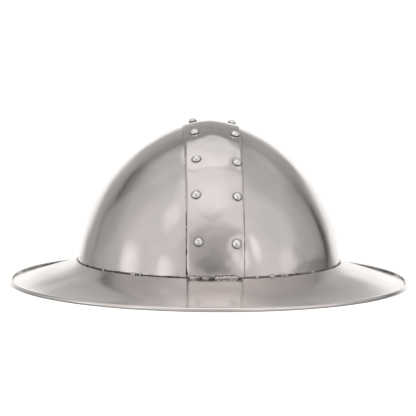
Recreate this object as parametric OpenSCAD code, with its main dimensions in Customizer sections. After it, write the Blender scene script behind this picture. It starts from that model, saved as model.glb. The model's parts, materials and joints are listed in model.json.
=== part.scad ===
// Kettle hat: an iron war hat with a round crown, a riveted band over the top and a wide sloping brim.
// Millimetres. The front is -Y, the wearer's left is +X, +Z is up, and the rim stands on Z = 0.
// Every oval of the helmet is a circle of the width given here, stretched along Y by oval_ratio.

/* [Crown] */
// Length of every oval divided by its width
oval_ratio = 1.07; // [1:0.01:1.12]
// Outside width of the crown where it meets the brim
crown_w = 229; // [215:1:235]
// Height of the crown above the brim seam
crown_h = 121; // [110:1:135]
// Roundness of the crown's outline, where 2 is an ellipse
crown_round = 1.79; // [1.6:0.01:2.2]
// Thickness of the crown plates and of the band
plate_t = 1.5; // [1.2:0.1:2]
// Gap between the two half skulls under the band
butt_gap = 1; // [0.4:0.1:3]

/* [Band and rivets] */
// Width of the band that runs over the crown from front to back
band_w = 48; // [40:1:60]
// Radius of the corners at the band's two ends
band_corner = 4; // [1:0.5:8]
// Distance between the two rows of rivets
rivet_rows = 35; // [28:1:40]
// Distance along a row from the top of the crown forward to the first rivet
rivet_first = 154; // [150:1:156]
// Distance along a row from one rivet to the next
rivet_pitch = 42; // [38:1:43]
// Number of rivets in a row
rivet_count = 8; // [4:1:8]
// Diameter of a rivet's domed head
rivet_head_d = 7.4; // [6:0.2:9]
// Height of a rivet's domed head
rivet_head_h = 3.2; // [2:0.1:3.6]
// Diameter of a rivet's shank
rivet_shank_d = 3.6; // [3:0.1:4]

/* [Brim] */
// Outside width of the brim over its rolled edge
brim_w = 350; // [330:1:370]
// Height of the brim seam above the surface that the rim stands on
seam_z = 20.5; // [18:0.5:30]
// Thickness of the brim plate
brim_t = 1.2; // [1:0.1:1.5]
// Diameter of the rolled edge
roll_d = 3.8; // [3.4:0.1:4.4]
// Diameter of the wire inside the rolled edge
wire_d = 1.36; // [1:0.02:1.36]

/* [Liner] */
// Clear distance from the crown's inside to the leather headband
liner_gap = 6.2; // [5:0.1:9]
// Height of the headband's lower edge above the brim seam
headband_low = 10; // [9:0.5:14]
// Height of the headband
headband_h = 38; // [34:1:40]
// Thickness of the headband leather
headband_t = 2.4; // [2:0.1:3]
// Thickness of the leaf leather
leaf_t = 1.8; // [1.4:0.1:2.2]
// Distance from the crown's axis to the tip of a leaf
leaf_tip_r = 20; // [18:1:22]
// Height of the leaf tips above the brim seam
leaf_top = 89; // [80:1:92]
// Diameter of the lace that gathers the leaves
lace_d = 2.4; // [2:0.1:2.6]

/* [Chin strap] */
// Width of the strap
strap_w = 18; // [14:1:19]
// Thickness of the strap leather
strap_t = 2.2; // [1.8:0.1:2.4]
// Length of the half with the buckle, from its wire loop to the buckle's bar
strap_buckle_l = 105; // [95:1:110]
// Length of the half with the holes, from its wire loop to its tip
strap_tongue_l = 215; // [190:1:220]
// Sideways turn of each half, which lets them lie beside each other
strap_skew = 10; // [9:1:12]
// Number of buckle holes
strap_holes = 6; // [4:1:7]
// Inside width of the wire loops and of the buckle
loop_w = 20; // [20:0.5:22]

/* [Hidden] */
$fn = 96;
EPS = 0.05;
BIG = 500;

// ---- Crown outline ----
crown_a = crown_w / 2;
butt_h = 1.5;

// Radius of the crown's outside at height h above the seam
function crown_r(h) = crown_a * pow(1 - pow(h / crown_h, crown_round), 1 / crown_round);

// Height of the crown's outside above the seam at radius r
function crown_z(r) = crown_h * pow(1 - pow(r / crown_a, crown_round), 1 / crown_round);

// Outward direction of the crown's outline at (r, h)
function outline_normal(r, h) =
    let (
        gr = pow(r, crown_round - 1) / pow(crown_a, crown_round),
        gz = pow(h, crown_round - 1) / pow(crown_h, crown_round),
        g = norm([gr, gz])
    ) [gr / g, gz / g];

// A point of the crown's outline at angle u from the seam, moved outward by off
function outline_point(u, off) =
    let (
        r = crown_a * pow(cos(u), 2 / crown_round),
        h = crown_h * pow(sin(u), 2 / crown_round),
        n = outline_normal(r, h)
    ) [max(r + off * n[0], 0), h + off * n[1]];

OUTLINE_STEP = 3;
function outline(off) = [for (u = [0 : OUTLINE_STEP : 90]) outline_point(u, off)];
function reversed(list) = [for (i = [len(list) - 1 : -1 : 0]) list[i]];

module oval() {
    scale([1, oval_ratio, 1]) children();
}

// A whole oval ring of the 2D section given as the child, made in two halves
module oval_ring() {
    for (half = [0, 180])
        oval() rotate([0, 0, half]) rotate_extrude(angle = 180) children();
}

// A shell that follows the crown between two offsets from its outside
module crown_shell(off_in, off_out) {
    translate([0, 0, seam_z])
        oval()
            rotate_extrude()
                polygon(concat(outline(off_out), reversed(outline(off_in))));
}

// ---- Rivets of the band ----
band_gap = 0.05;
rivet_hole_d = rivet_shank_d + 0.1;
rivet_tail_d = 6;
rivet_tail_h = 1.2;
// Offsets stretched by the oval, so that a rivet's head never sinks into the band
head_base = (band_gap + plate_t) * oval_ratio;
tail_base = plate_t * oval_ratio + 0.08;
WALK_STEP = 0.25;

// Radius, before the oval's stretch, of the point (x, y)
function flat_r(x, y) = norm([x, y / oval_ratio]);

// Distance Y from the crown's top at which a row at x has run the length run_left
function row_y(x, run_left, y = 0) =
    run_left <= 0 ? y :
    let (
        dz = crown_z(flat_r(x, y + WALK_STEP)) - crown_z(flat_r(x, y))
    ) row_y(x, run_left - norm([WALK_STEP, dz]), y + WALK_STEP);

// Outward direction of the crown at a point of its outside
function crown_normal(x, y, h) =
    let (
        r = flat_r(x, y),
        gr = pow(r, crown_round - 1) / pow(crown_a, crown_round),
        gz = pow(h, crown_round - 1) / pow(crown_h, crown_round),
        g = [gr * x / r, gr * y / (r * pow(oval_ratio, 2)), gz]
    ) g / norm(g);

// Puts its children at a point with their +Z along the direction n
module aim(point, n) {
    translate(point)
        rotate([0, acos(n[2]), atan2(n[1], n[0])])
            children();
}

// Puts its children at each rivet of the row at x, with +Z out of the crown
module at_row(x) {
    for (i = [0 : rivet_count - 1]) {
        run = i * rivet_pitch - rivet_first;
        y = sign(run) * row_y(x, abs(run));
        h = crown_z(flat_r(x, y));
        aim([x, y, h + seam_z], crown_normal(x, y, h)) children();
    }
}

// A cap of a sphere with its flat side on Z = 0
module dome(d, h) {
    ball_r = (d * d / 4 + h * h) / (2 * h);
    rotate_extrude()
        intersection() {
            translate([0, h - ball_r]) circle(r = ball_r);
            square([d, h]);
        }
}

module band_rivet() {
    translate([0, 0, head_base]) dome(rivet_head_d, rivet_head_h);
    translate([0, 0, -tail_base]) cylinder(d = rivet_shank_d, h = head_base + tail_base);
    translate([0, 0, -tail_base]) mirror([0, 0, 1]) dome(rivet_tail_d, rivet_tail_h);
}

module rivet_hole() {
    cylinder(d = rivet_hole_d, h = 4 * plate_t, center = true);
}

module skull(side) {
    color("gainsboro")
        difference() {
            intersection() {
                union() {
                    crown_shell(-plate_t, 0);
                    translate([0, 0, seam_z - butt_h]) skull_foot();
                }
                translate([side > 0 ? butt_gap / 2 : -BIG - butt_gap / 2, -BIG / 2, 0])
                    cube([BIG, BIG, BIG]);
            }
            at_row(side * rivet_rows / 2) rivet_hole();
        }
}

// The upright ring at the foot of the crown that the brim is butted to
module skull_foot() {
    oval()
        rotate_extrude()
            translate([crown_a - plate_t, 0])
                square([plate_t, butt_h]);
}

// ---- Centre band ----
band_foot = 2.4;

module band_outline() {
    top = crown_h + 20;
    translate([-band_w / 2, band_foot + band_corner]) square([band_w, top]);
    translate([-band_w / 2 + band_corner, band_foot])
        square([band_w - 2 * band_corner, band_corner + EPS]);
    for (s = [-1, 1])
        translate([s * (band_w / 2 - band_corner), band_foot + band_corner])
            circle(r = band_corner);
}

module centre_band() {
    color("silver")
        difference() {
            intersection() {
                crown_shell(band_gap, band_gap + plate_t);
                translate([0, BIG / 2, seam_z])
                    rotate([90, 0, 0])
                        linear_extrude(BIG) band_outline();
            }
            for (s = [-1, 1]) at_row(s * rivet_rows / 2) rivet_hole();
        }
}

module band_rivets(side) {
    color("whitesmoke") at_row(side * rivet_rows / 2) band_rivet();
}

// ---- Brim ----
roll_r = roll_d / 2;
// The roll is pressed flat underneath by this much, which gives the rim a face to stand on
roll_flat = 0.15;
roll_z = roll_r - roll_flat;
brim_a = brim_w / 2 - roll_r;
wire_hole_d = wire_d + 0.06;
// Heights of the brim's control points from the seam to the rolled edge
brim_heights = [seam_z, seam_z * 0.54, seam_z * 0.62, roll_z + 0.4, roll_z];
BRIM_STEPS = 24;
SLOPE_STEP = 0.01;

// Height of the brim's top at the fraction s of its width
function brim_z(s) =
    let (m = 1 - s)
    pow(m, 4) * brim_heights[0]
        + 4 * pow(m, 3) * s * brim_heights[1]
        + 6 * pow(m * s, 2) * brim_heights[2]
        + 4 * m * pow(s, 3) * brim_heights[3]
        + pow(s, 4) * brim_heights[4];

function brim_r(s) = crown_a + (brim_a - crown_a) * s;

// Upright thickness of the sloping plate at the fraction s
function brim_drop(s) =
    let (
        before = max(s - SLOPE_STEP, 0),
        after = min(s + SLOPE_STEP, 1),
        slope = (brim_z(after) - brim_z(before)) / (brim_r(after) - brim_r(before))
    ) brim_t * norm([1, slope]);

module brim_section() {
    fractions = [for (i = [0 : BRIM_STEPS]) i / BRIM_STEPS];
    top = [for (s = fractions) [brim_r(s), brim_z(s)]];
    bottom = [for (s = fractions) [brim_r(s), brim_z(s) - brim_drop(s)]];
    difference() {
        union() {
            polygon(concat(top, reversed(bottom)));
            translate([brim_a, roll_z]) circle(r = roll_r);
        }
        translate([brim_a, roll_z]) circle(d = wire_hole_d);
    }
}

module brim() {
    color("lightgray")
        difference() {
            oval_ring() brim_section();
            translate([0, 0, -BIG / 2]) cube(BIG, center = true);
        }
}

module rim_wire() {
    color("dimgray")
        oval_ring()
            translate([brim_a, roll_z])
                circle(d = wire_d, $fn = 12);
}

// ---- Weld bead in the corner between the crown and the brim ----
// How far the bead runs up the crown, and how far out over the brim as a fraction of its width
weld_up = 2.2;
weld_out = 0.045;
// The bead's rounded back: one point near its outer edge and one near the crown
weld_toe = [brim_r(weld_out) - 0.6, brim_z(weld_out) + 1.3];
weld_back = [crown_a + 1, seam_z + 1.4];

module weld_seam() {
    color("slategray")
        oval_ring()
            polygon([
                [crown_a, seam_z],
                [brim_r(weld_out), brim_z(weld_out)],
                weld_toe,
                weld_back,
                [crown_r(weld_up), seam_z + weld_up]
            ]);
}

// ---- Liner ----
tab_count = 6;
tab_first = 30;
tab_turn = 7.6;
tab_t = 1.5;
tab_rivet_h = 24;
// Heights above the seam where a tab follows the crown, and where it follows the headband
tab_weld_heights = [46, 41, 36];
tab_foot_heights = [31, 24, 16];
liner_shank_d = 3.2;
liner_bore_d = liner_shank_d + 0.1;
LINER_BORE_L = 12;
// Diameter and height of a liner rivet's head on the leather and of its tail on the tab
liner_head = [7, 1.5];
liner_tail = [5.2, 1];
headband_top = headband_low + headband_h;

// Radius of the headband's outer face at height h above the seam
function headband_r(h) = crown_r(h) - plate_t - liner_gap;

// Radius of the crown's inside, less a hair for the weld under a tab
function wall_r(h) = crown_r(h) - plate_t - 0.3;

// One welded tab: its top lies on the crown and its foot on the headband
function tab_outer() = concat(
    [for (h = tab_weld_heights) [wall_r(h), h]],
    [for (h = tab_foot_heights) [headband_r(h) + tab_t + EPS, h]]
);

module liner_tabs() {
    outer = tab_outer();
    inner = [for (p = outer) [p[0] - tab_t, p[1]]];
    color("gray")
        difference() {
            translate([0, 0, seam_z])
                oval()
                    for (i = [0 : tab_count - 1])
                        rotate([0, 0, tab_first + 360 / tab_count * i - tab_turn / 2])
                            rotate_extrude(angle = tab_turn)
                                polygon(concat(outer, reversed(inner)));
            at_tabs() cylinder(d = liner_bore_d, h = LINER_BORE_L, center = true);
        }
}

// Puts its children on the headband's outer face at each tab, with +Z out of it
module at_tabs() {
    r = headband_r(tab_rivet_h);
    for (i = [0 : tab_count - 1]) {
        turn = tab_first + 360 / tab_count * i;
        x = r * cos(turn);
        y = r * oval_ratio * sin(turn);
        aim([x, y, tab_rivet_h + seam_z], crown_normal(x, y, tab_rivet_h)) children();
    }
}

module liner_rivet() {
    through = tab_t + 0.3;
    sunk = headband_t + 0.25;
    translate([0, 0, through]) dome(liner_tail[0], liner_tail[1]);
    translate([0, 0, -sunk]) cylinder(d = liner_shank_d, h = through + sunk);
    translate([0, 0, -sunk]) mirror([0, 0, 1]) dome(liner_head[0], liner_head[1]);
}

module liner_rivets() {
    color("darkgoldenrod") at_tabs() liner_rivet();
}

module liner_headband() {
    heights = [for (i = [0 : 8]) headband_low + headband_h * i / 8];
    outer = [for (h = heights) [headband_r(h), h]];
    inner = [for (h = reversed(heights)) [headband_r(h) - headband_t, h]];
    color("saddlebrown")
        difference() {
            translate([0, 0, seam_z])
                oval_ring() polygon(concat(outer, inner));
            at_tabs() cylinder(d = liner_bore_d, h = LINER_BORE_L, center = true);
        }
}

// A leaf hangs from the inside of the headband and bends in over the head
leaf_count = 8;
leaf_turn = 40;
leaf_sewn = 10;
LEAF_STEPS = 12;
// Where the leaf levels out over the head: outward of its tip and below it
leaf_shoulder = [32, 3];
leaf_foot = [headband_r(headband_top) - headband_t - EPS, headband_top];
leaf_root = [headband_r(headband_top - leaf_sewn) - headband_t - EPS, headband_top - leaf_sewn];
leaf_bends = [
    leaf_foot,
    leaf_foot + 2 * (leaf_foot - leaf_root),
    [leaf_tip_r + leaf_shoulder[0], leaf_top - leaf_shoulder[1]],
    [leaf_tip_r, leaf_top]
];

function bezier(p, t) =
    pow(1 - t, 3) * p[0] + 3 * pow(1 - t, 2) * t * p[1] + 3 * (1 - t) * t * t * p[2] + pow(t, 3) * p[3];

// Outer face of a leaf, from its sewn edge to its tip
leaf_path = concat([leaf_root], [for (i = [0 : LEAF_STEPS]) bezier(leaf_bends, i / LEAF_STEPS)]);

// The path moved inward by the leather's thickness
function leaf_inside() = [
    for (i = [0 : len(leaf_path) - 1])
        let (
            before = leaf_path[max(i - 1, 0)],
            after = leaf_path[min(i + 1, len(leaf_path) - 1)],
            along = (after - before) / norm(after - before)
        ) leaf_path[i] - leaf_t * [along[1], -along[0]]
];

// The lace runs over the gaps between leaves and under their middles, through two holes in each leaf
lace_r = 27;
lace_swing = 3.6;
lace_z = leaf_top - leaf_t / 2 - 0.15;
lace_hole_d = 5.4;
LACE_RINGS = 128;
LACE_SIDES = 8;

module lace_holes() {
    for (i = [0 : 2 * leaf_count - 1])
        rotate([0, 0, 180 / leaf_count * (i + 0.5)])
            translate([lace_r, 0, 0])
                cylinder(d = lace_hole_d, h = BIG);
}

module liner_leaf(number) {
    color("peru")
        translate([0, 0, seam_z])
            oval()
                difference() {
                    rotate([0, 0, 360 / leaf_count * (number - 0.5) - leaf_turn / 2])
                        rotate_extrude(angle = leaf_turn)
                            polygon(concat(leaf_path, reversed(leaf_inside())));
                    lace_holes();
                }
}

function lace_point(turn) = [
    lace_r * cos(turn),
    lace_r * oval_ratio * sin(turn),
    seam_z + lace_z + lace_swing * cos(leaf_count * turn)
];

// Points of one ring of the lace around its own path
function lace_ring(turn) =
    let (
        along = lace_point(turn + 1) - lace_point(turn - 1),
        t = along / norm(along),
        side = cross(t, [0, 0, 1]) / norm(cross(t, [0, 0, 1])),
        up = cross(side, t)
    ) [for (j = [0 : LACE_SIDES - 1])
        let (a = 360 / LACE_SIDES * j)
        lace_point(turn) + lace_d / 2 * (side * cos(a) + up * sin(a))];

module liner_lace() {
    points = [for (i = [0 : LACE_RINGS - 1]) each lace_ring(360 / LACE_RINGS * i)];
    faces = [
        for (i = [0 : LACE_RINGS - 1], j = [0 : LACE_SIDES - 1])
            let (
                ni = (i + 1) % LACE_RINGS,
                nj = (j + 1) % LACE_SIDES
            ) [
                i * LACE_SIDES + j,
                i * LACE_SIDES + nj,
                ni * LACE_SIDES + nj,
                ni * LACE_SIDES + j
            ]
    ];
    color("wheat") polyhedron(points = points, faces = faces, convexity = 8);
}

// ---- Chin strap: lugs and wire loops ----
loop_wire_r = 1.4;
loop_drop = 12;
lug_w = 16;
lug_eye_l = 12;
lug_eye_r = 2.9;
lug_bore_r = loop_wire_r + 0.07;
lug_face_x = crown_a - plate_t - 1;
lug_plate_t = 1.5;
lug_plate_h = 9.5;
// How deep the eye is let into its plate, and how far the plate reaches below the seam
lug_merge = 0.4;
lug_below = 0.5;
pivot_x = lug_face_x - lug_plate_t - lug_eye_r + lug_merge;
pivot_z = seam_z + 4;
bar_z = pivot_z - loop_drop;
SOFT_FN = 48;

// Turns its children to the wearer's left (1) or right (-1) side
module on_side(side) {
    rotate([0, 0, side > 0 ? 0 : 180]) children();
}

// A round bar along Y
module bar_y(r, length) {
    rotate([90, 0, 0]) cylinder(r = r, h = length, center = true, $fn = SOFT_FN);
}

module strap_lug(side) {
    color("gray")
        on_side(side)
            difference() {
                union() {
                    translate([lug_face_x - lug_plate_t, -lug_w / 2, seam_z - lug_below])
                        cube([lug_plate_t, lug_w, lug_plate_h]);
                    translate([pivot_x, 0, pivot_z]) bar_y(lug_eye_r, lug_eye_l);
                }
                translate([pivot_x, 0, pivot_z]) bar_y(lug_bore_r, lug_w + 2);
            }
}

// Radius of a wire rectangle's corners, at the wire's middle, divided by the wire's radius
WIRE_BEND = 1.6;

// A closed wire rectangle in the XY plane, from its first bar on X = 0 to its last bar on X = length
module wire_rectangle(wire_r, inside_w, length) {
    half = inside_w / 2 + wire_r;
    bend = WIRE_BEND * wire_r;
    for (x = [0, length])
        translate([x, 0, 0]) bar_y(wire_r, 2 * (half - bend));
    for (s = [-1, 1])
        translate([bend, s * half, 0])
            rotate([0, 90, 0]) cylinder(r = wire_r, h = length - 2 * bend, $fn = SOFT_FN);
    for (corner = [[length - bend, half - bend, 0], [bend, half - bend, 90],
            [bend, bend - half, 180], [length - bend, bend - half, 270]])
        translate([corner[0], corner[1], 0])
            rotate([0, 0, corner[2]])
                rotate_extrude(angle = 90, $fn = SOFT_FN)
                    translate([bend, 0]) circle(r = wire_r, $fn = SOFT_FN);
}

module wire_loop(side) {
    color("darkgray")
        on_side(side)
            translate([pivot_x, 0, pivot_z])
                rotate([0, 90, 0])
                    wire_rectangle(loop_wire_r, loop_w, loop_drop);
}

// ---- Chin strap: leather ----
fold_l = 30;
wrap_gap = 0.07;
buckle_wire_r = 1.6;
buckle_l = 20;
// Height of the buckle's bar, and of the tongue's underside at its tip, above the standing surface
buckle_z = 4.4;
tongue_z = 0.4;
tilt_left = asin((bar_z - buckle_z) / strap_buckle_l);
tilt_right = asin((bar_z - tongue_z) / strap_tongue_l);

// Frame of one strap half: origin on its wire loop's lower bar, +X along the strap, +Z up
module strap_frame(side) {
    on_side(side)
        translate([pivot_x, 0, bar_z])
            rotate([0, 0, 180])
                rotate([0, side > 0 ? tilt_left : tilt_right, 0])
                    children();
}

module skewed() {
    rotate([0, 0, -strap_skew]) children();
}

// The leather wrapped round a bar of radius wire_r on the origin
module wrap(wire_r) {
    bar_y(wire_r + wrap_gap + strap_t, strap_w);
}

module wrap_bore(wire_r) {
    bar_y(wire_r + wrap_gap, strap_w + 2);
}

// Strip of leather from the origin to length along +X with a round far end
module strip(length, round_end) {
    linear_extrude(strap_t)
        union() {
            translate([0, -strap_w / 2])
                square([round_end ? length - strap_w / 2 : length, strap_w]);
            if (round_end)
                translate([length - strap_w / 2, 0]) circle(d = strap_w);
        }
}

strap_rivet_x = [12, 23];
buckle_rivet_x = strap_buckle_l - 11;
strap_rivet_d = 2.6;
strap_rivet_head_d = 6;
strap_rivet_tail_d = 5;
strap_rivet_head_h = 0.9;
// Length of a tool that cuts right through the strap
STRAP_CUT = 20;

// The folded end at the wire loop: wrap and lower layer, with the upper strip above them
module strap_root() {
    wrap(loop_wire_r);
    skewed() {
        strip(fold_l, false);
        translate([0, 0, -strap_t]) strip(fold_l, false);
    }
}

module strap_rivet_holes(places) {
    for (x = places)
        translate([x, 0, 0])
            cylinder(d = strap_rivet_d + 0.1, h = STRAP_CUT, center = true, $fn = SOFT_FN);
}

module strap_left() {
    // The slot lets the prong's eye turn, and ends this far before the buckle's bar
    slot_w = 5.4;
    slot_l = 16;
    slot_back = 6;
    color("sienna")
        strap_frame(1)
            difference() {
                union() {
                    strap_root();
                    skewed() {
                        strip(strap_buckle_l, false);
                        translate([strap_buckle_l, 0, 0]) wrap(buckle_wire_r);
                        translate([strap_buckle_l - fold_l, 0, -strap_t]) strip(fold_l, false);
                    }
                }
                wrap_bore(loop_wire_r);
                skewed() {
                    translate([strap_buckle_l, 0, 0]) wrap_bore(buckle_wire_r);
                    translate([strap_buckle_l - slot_back, -slot_w / 2, -STRAP_CUT / 2])
                        cube([slot_l, slot_w, STRAP_CUT]);
                    strap_rivet_holes(concat(strap_rivet_x, [buckle_rivet_x]));
                }
            }
}

module strap_right() {
    hole_d = 3.6;
    hole_pitch = 14;
    hole_to_tip = 30;
    color("sienna")
        strap_frame(-1)
            difference() {
                union() {
                    strap_root();
                    skewed() strip(strap_tongue_l, true);
                }
                wrap_bore(loop_wire_r);
                skewed() {
                    strap_rivet_holes(strap_rivet_x);
                    for (i = [0 : strap_holes - 1])
                        translate([strap_tongue_l - hole_to_tip - i * hole_pitch, 0, 0])
                            cylinder(d = hole_d, h = STRAP_CUT, center = true, $fn = SOFT_FN);
                }
            }
}

module strap_rivet() {
    face = strap_t + EPS;
    translate([0, 0, face]) dome(strap_rivet_head_d, strap_rivet_head_h, $fn = SOFT_FN);
    translate([0, 0, -face]) cylinder(d = strap_rivet_d, h = 2 * face, $fn = SOFT_FN);
    translate([0, 0, -face])
        mirror([0, 0, 1]) dome(strap_rivet_tail_d, strap_rivet_head_h, $fn = SOFT_FN);
}

module strap_rivets(side) {
    places = side > 0 ? concat(strap_rivet_x, [buckle_rivet_x]) : strap_rivet_x;
    color("goldenrod")
        strap_frame(side)
            skewed()
                for (x = places)
                    translate([x, 0, 0]) strap_rivet();
}

// ---- Chin strap: keeper and buckle ----
keeper_l = 9;
keeper_t = 1.6;
keeper_to_fold = 13;
keeper_x = strap_buckle_l - fold_l - keeper_to_fold;
keeper_slack = 0.5;

module strap_keeper() {
    inside_w = strap_w + 2 * keeper_slack;
    inside_h = 2 * strap_t + 2 * keeper_slack;
    color("sienna")
        strap_frame(1)
            skewed()
                translate([keeper_x, 0, -keeper_slack])
                    difference() {
                        translate([0, -inside_w / 2 - keeper_t, -keeper_t])
                            cube([keeper_l, inside_w + 2 * keeper_t, inside_h + 2 * keeper_t]);
                        translate([-1, -inside_w / 2, 0])
                            cube([keeper_l + 2, inside_w, inside_h]);
                    }
}

module buckle_place() {
    strap_frame(1)
        skewed()
            translate([strap_buckle_l, 0, 0]) children();
}

module buckle_frame() {
    color("gold")
        buckle_place() wire_rectangle(buckle_wire_r, loop_w, buckle_l);
}

// The prong is a tapered pin on an eye that turns on the buckle's first bar
module buckle_prong() {
    eye_w = 4;
    eye_wall = 1.5;
    eye_r = buckle_wire_r + eye_wall;
    tip_r = 1;
    root_r = 1.4;
    // The tip rests on the buckle's far bar and stands out past it
    rest_gap = 0.1;
    past_bar = 2;
    rest_z = buckle_wire_r + tip_r + rest_gap;
    reach = buckle_l + past_bar;
    pin_lean = atan((rest_z - buckle_wire_r) / buckle_l);
    color("gold")
        buckle_place()
            difference() {
                union() {
                    bar_y(eye_r, eye_w);
                    translate([0, 0, buckle_wire_r])
                        rotate([0, 90 - pin_lean, 0])
                            cylinder(r1 = root_r, r2 = tip_r, h = reach, $fn = SOFT_FN);
                }
                bar_y(buckle_wire_r + wrap_gap, eye_w + 2);
            }
}

skull(1);  // skull_left
skull(-1);  // skull_right
centre_band();
band_rivets(1);  // band_rivets_left
band_rivets(-1);  // band_rivets_right
brim();
rim_wire();
weld_seam();
liner_tabs();
liner_rivets();
liner_headband();
for (i = [1 : leaf_count])
    liner_leaf(i);
liner_lace();
strap_lug(1);  // strap_lug_left
strap_lug(-1);  // strap_lug_right
wire_loop(1);  // wire_loop_left
wire_loop(-1);  // wire_loop_right
strap_left();
strap_right();
strap_rivets(1);  // strap_rivets_left
strap_rivets(-1);  // strap_rivets_right
strap_keeper();
buckle_frame();
buckle_prong();
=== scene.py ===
# Kettle hat: the looks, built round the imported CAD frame.
# Metres. The front is -Y, the wearer's left is +X, +Z is up, and the rim stands on Z = 0.
import json
import math

import bmesh
import bpy
import numpy as np
from mathutils import Matrix, Vector


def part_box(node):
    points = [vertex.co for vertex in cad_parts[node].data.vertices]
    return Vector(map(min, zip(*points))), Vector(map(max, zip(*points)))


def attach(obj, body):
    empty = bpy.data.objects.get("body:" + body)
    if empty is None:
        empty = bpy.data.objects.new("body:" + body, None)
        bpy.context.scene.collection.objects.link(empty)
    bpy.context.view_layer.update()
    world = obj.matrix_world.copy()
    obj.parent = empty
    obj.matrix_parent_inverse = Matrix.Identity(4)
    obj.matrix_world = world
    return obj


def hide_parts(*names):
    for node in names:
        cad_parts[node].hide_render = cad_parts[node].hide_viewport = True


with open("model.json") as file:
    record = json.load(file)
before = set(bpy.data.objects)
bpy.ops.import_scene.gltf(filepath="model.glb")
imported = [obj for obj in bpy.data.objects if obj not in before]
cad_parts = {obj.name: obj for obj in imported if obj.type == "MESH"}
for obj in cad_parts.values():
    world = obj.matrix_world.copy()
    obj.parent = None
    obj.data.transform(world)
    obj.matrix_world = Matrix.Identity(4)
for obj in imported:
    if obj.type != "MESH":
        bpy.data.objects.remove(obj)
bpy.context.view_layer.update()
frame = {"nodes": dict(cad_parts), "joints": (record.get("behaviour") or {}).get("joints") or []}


MM = 0.001

# ---- Sizes taken from the frame ----
SKULL_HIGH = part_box("skull_left")[1]
CROWN_A = SKULL_HIGH.x
OVAL = SKULL_HIGH.y / SKULL_HIGH.x
SEAM_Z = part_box("brim")[1].z
CROWN_H = SKULL_HIGH.z - SEAM_Z
SKULL_FOOT_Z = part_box("skull_left")[0].z
BUTT_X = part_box("skull_left")[0].x
BAND_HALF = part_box("centre_band")[1].x
BAND_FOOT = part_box("centre_band")[0].z - SEAM_Z
BRIM_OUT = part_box("brim")[1].x
JOINTS = {joint["name"]: joint for joint in frame["joints"]}

# ---- Sizes that the boxes don't give ----
# Exponent of the crown's curve, where 2 would be an ellipse
ROUND = 1.79
PLATE_T = 1.5 * MM
ROLL_R = 1.9 * MM
ROLL_Z = 1.75 * MM
BRIM_T = 1.2 * MM
LINER_GAP = 6.2 * MM
HEADBAND_LOW = 10 * MM
HEADBAND_TOP = 48 * MM
HEADBAND_T = 2.4 * MM


def unit(vectors):
    return vectors / np.linalg.norm(vectors, axis=-1, keepdims=True)


def clamp(share):
    return np.clip(share, 0, 1)


def bell(off, width):
    """1 where off is 0, falling softly to nothing at about twice the width."""
    return np.exp(-(off / width) ** 2)


def full_turn(steps):
    """Angles evenly round a circle."""
    return np.linspace(0, 2 * math.pi, steps, endpoint=False)


# ---- Curves of the crown ----
def crown_radius(h):
    """Radius of the crown's outside at height h above the seam, before the oval's stretch."""
    share = clamp(h / CROWN_H) ** ROUND
    return CROWN_A * (1 - share) ** (1 / ROUND)


def crown_height(r):
    """Height of the crown's outside above the seam, at radius r."""
    share = clamp(r / CROWN_A) ** ROUND
    return CROWN_H * (1 - share) ** (1 / ROUND)


def flat_r(x, y):
    """Distance from the helmet's axis, with the oval's stretch taken out."""
    return np.hypot(x, y / OVAL)


def crown_normals(points):
    """Outward directions of the crown at points of its outside."""
    x, y = points[..., 0], points[..., 1]
    h = np.maximum(points[..., 2] - SEAM_Z, 1e-7)
    r = np.maximum(flat_r(x, y), 1e-7)
    gr = r ** (ROUND - 1) / CROWN_A ** ROUND
    gz = h ** (ROUND - 1) / CROWN_H ** ROUND
    return unit(np.stack([gr * x / r, gr * y / (r * OVAL ** 2), gz], -1))


def oval_points(r, turn, z):
    """Points at radius r and angle turn of the stretched ovals, at height z."""
    r, turn, z = np.broadcast_arrays(r, turn, z)
    return np.stack([r * np.cos(turn), OVAL * r * np.sin(turn), z], -1)


def along_ring(path):
    """Directions along a closed path."""
    return unit(np.roll(path, -1, 0) - np.roll(path, 1, 0))


def left_of(path):
    """Directions to the left of an open path of (x, z) points."""
    along = unit(np.gradient(path, axis=0))
    return np.stack([-along[:, 1], along[:, 0]], -1)


def waves(points, length, seed, count=24):
    """Smooth unevenness of about -2 to 2, whose bumps are about half of length across."""
    rng = np.random.default_rng(seed)
    directions = unit(rng.normal(size=(count, 3)))
    phases = rng.uniform(0, 2 * math.pi, count)
    stretches = rng.uniform(0.7, 1.4, count)
    total = np.zeros(points.shape[:-1])
    for direction, phase, stretch in zip(directions, phases, stretches):
        total += np.cos(points @ direction * (2 * math.pi * stretch / length) + phase)
    return total * math.sqrt(2 / count)


def uneven(points, *rows):
    """Unevenness from rows of depth and length in millimetres, and seed."""
    return sum(depth * MM * waves(points, length * MM, seed) for depth, length, seed in rows)


# ---- Rivet places: along each row, measured over the crown from its top ----
ROW_X = 17.5 * MM
RIVET_PITCH = 42 * MM
RIVET_FIRST = 154 * MM


def row_place(x, run):
    """The crown's point at x that lies run from the top along the row, and the outward direction there."""
    y = np.arange(0, CROWN_A * OVAL, 0.1 * MM)
    h = crown_height(flat_r(x, y))
    walked = np.concatenate([[0], np.cumsum(np.hypot(np.diff(y), np.diff(h)))])
    y_at = math.copysign(float(np.interp(abs(run), walked, y)), run)
    point = np.array([x, y_at, SEAM_Z + float(crown_height(flat_r(x, y_at)))])
    return point, crown_normals(point)


# The band went on a little askew: its shift to the wearer's left at the top, and how much further left it
# goes for each step backward
BAND_SHIFT = 0.9 * MM
BAND_LEAN = 0.011
# The holes were marked out by eye: how many millimetres each rivet is off its place, across the row and
# along it, from the front to the back
DRIFTS = {
    "left": [
        (-0.2, -2.0), (1.2, -0.6), (2.2, -5.2), (2.3, -4.8),
        (1.8, -3.0), (0.8, 1.5), (1.6, -1.0), (0.6, 0.8),
    ],
    "right": [
        (2.6, -0.9), (1.3, 0.6), (2.7, -2.6), (2.8, -3.4),
        (3.4, -4.6), (1.8, 1.0), (0.9, -1.2), (1.6, 1.4),
    ],
}


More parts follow.
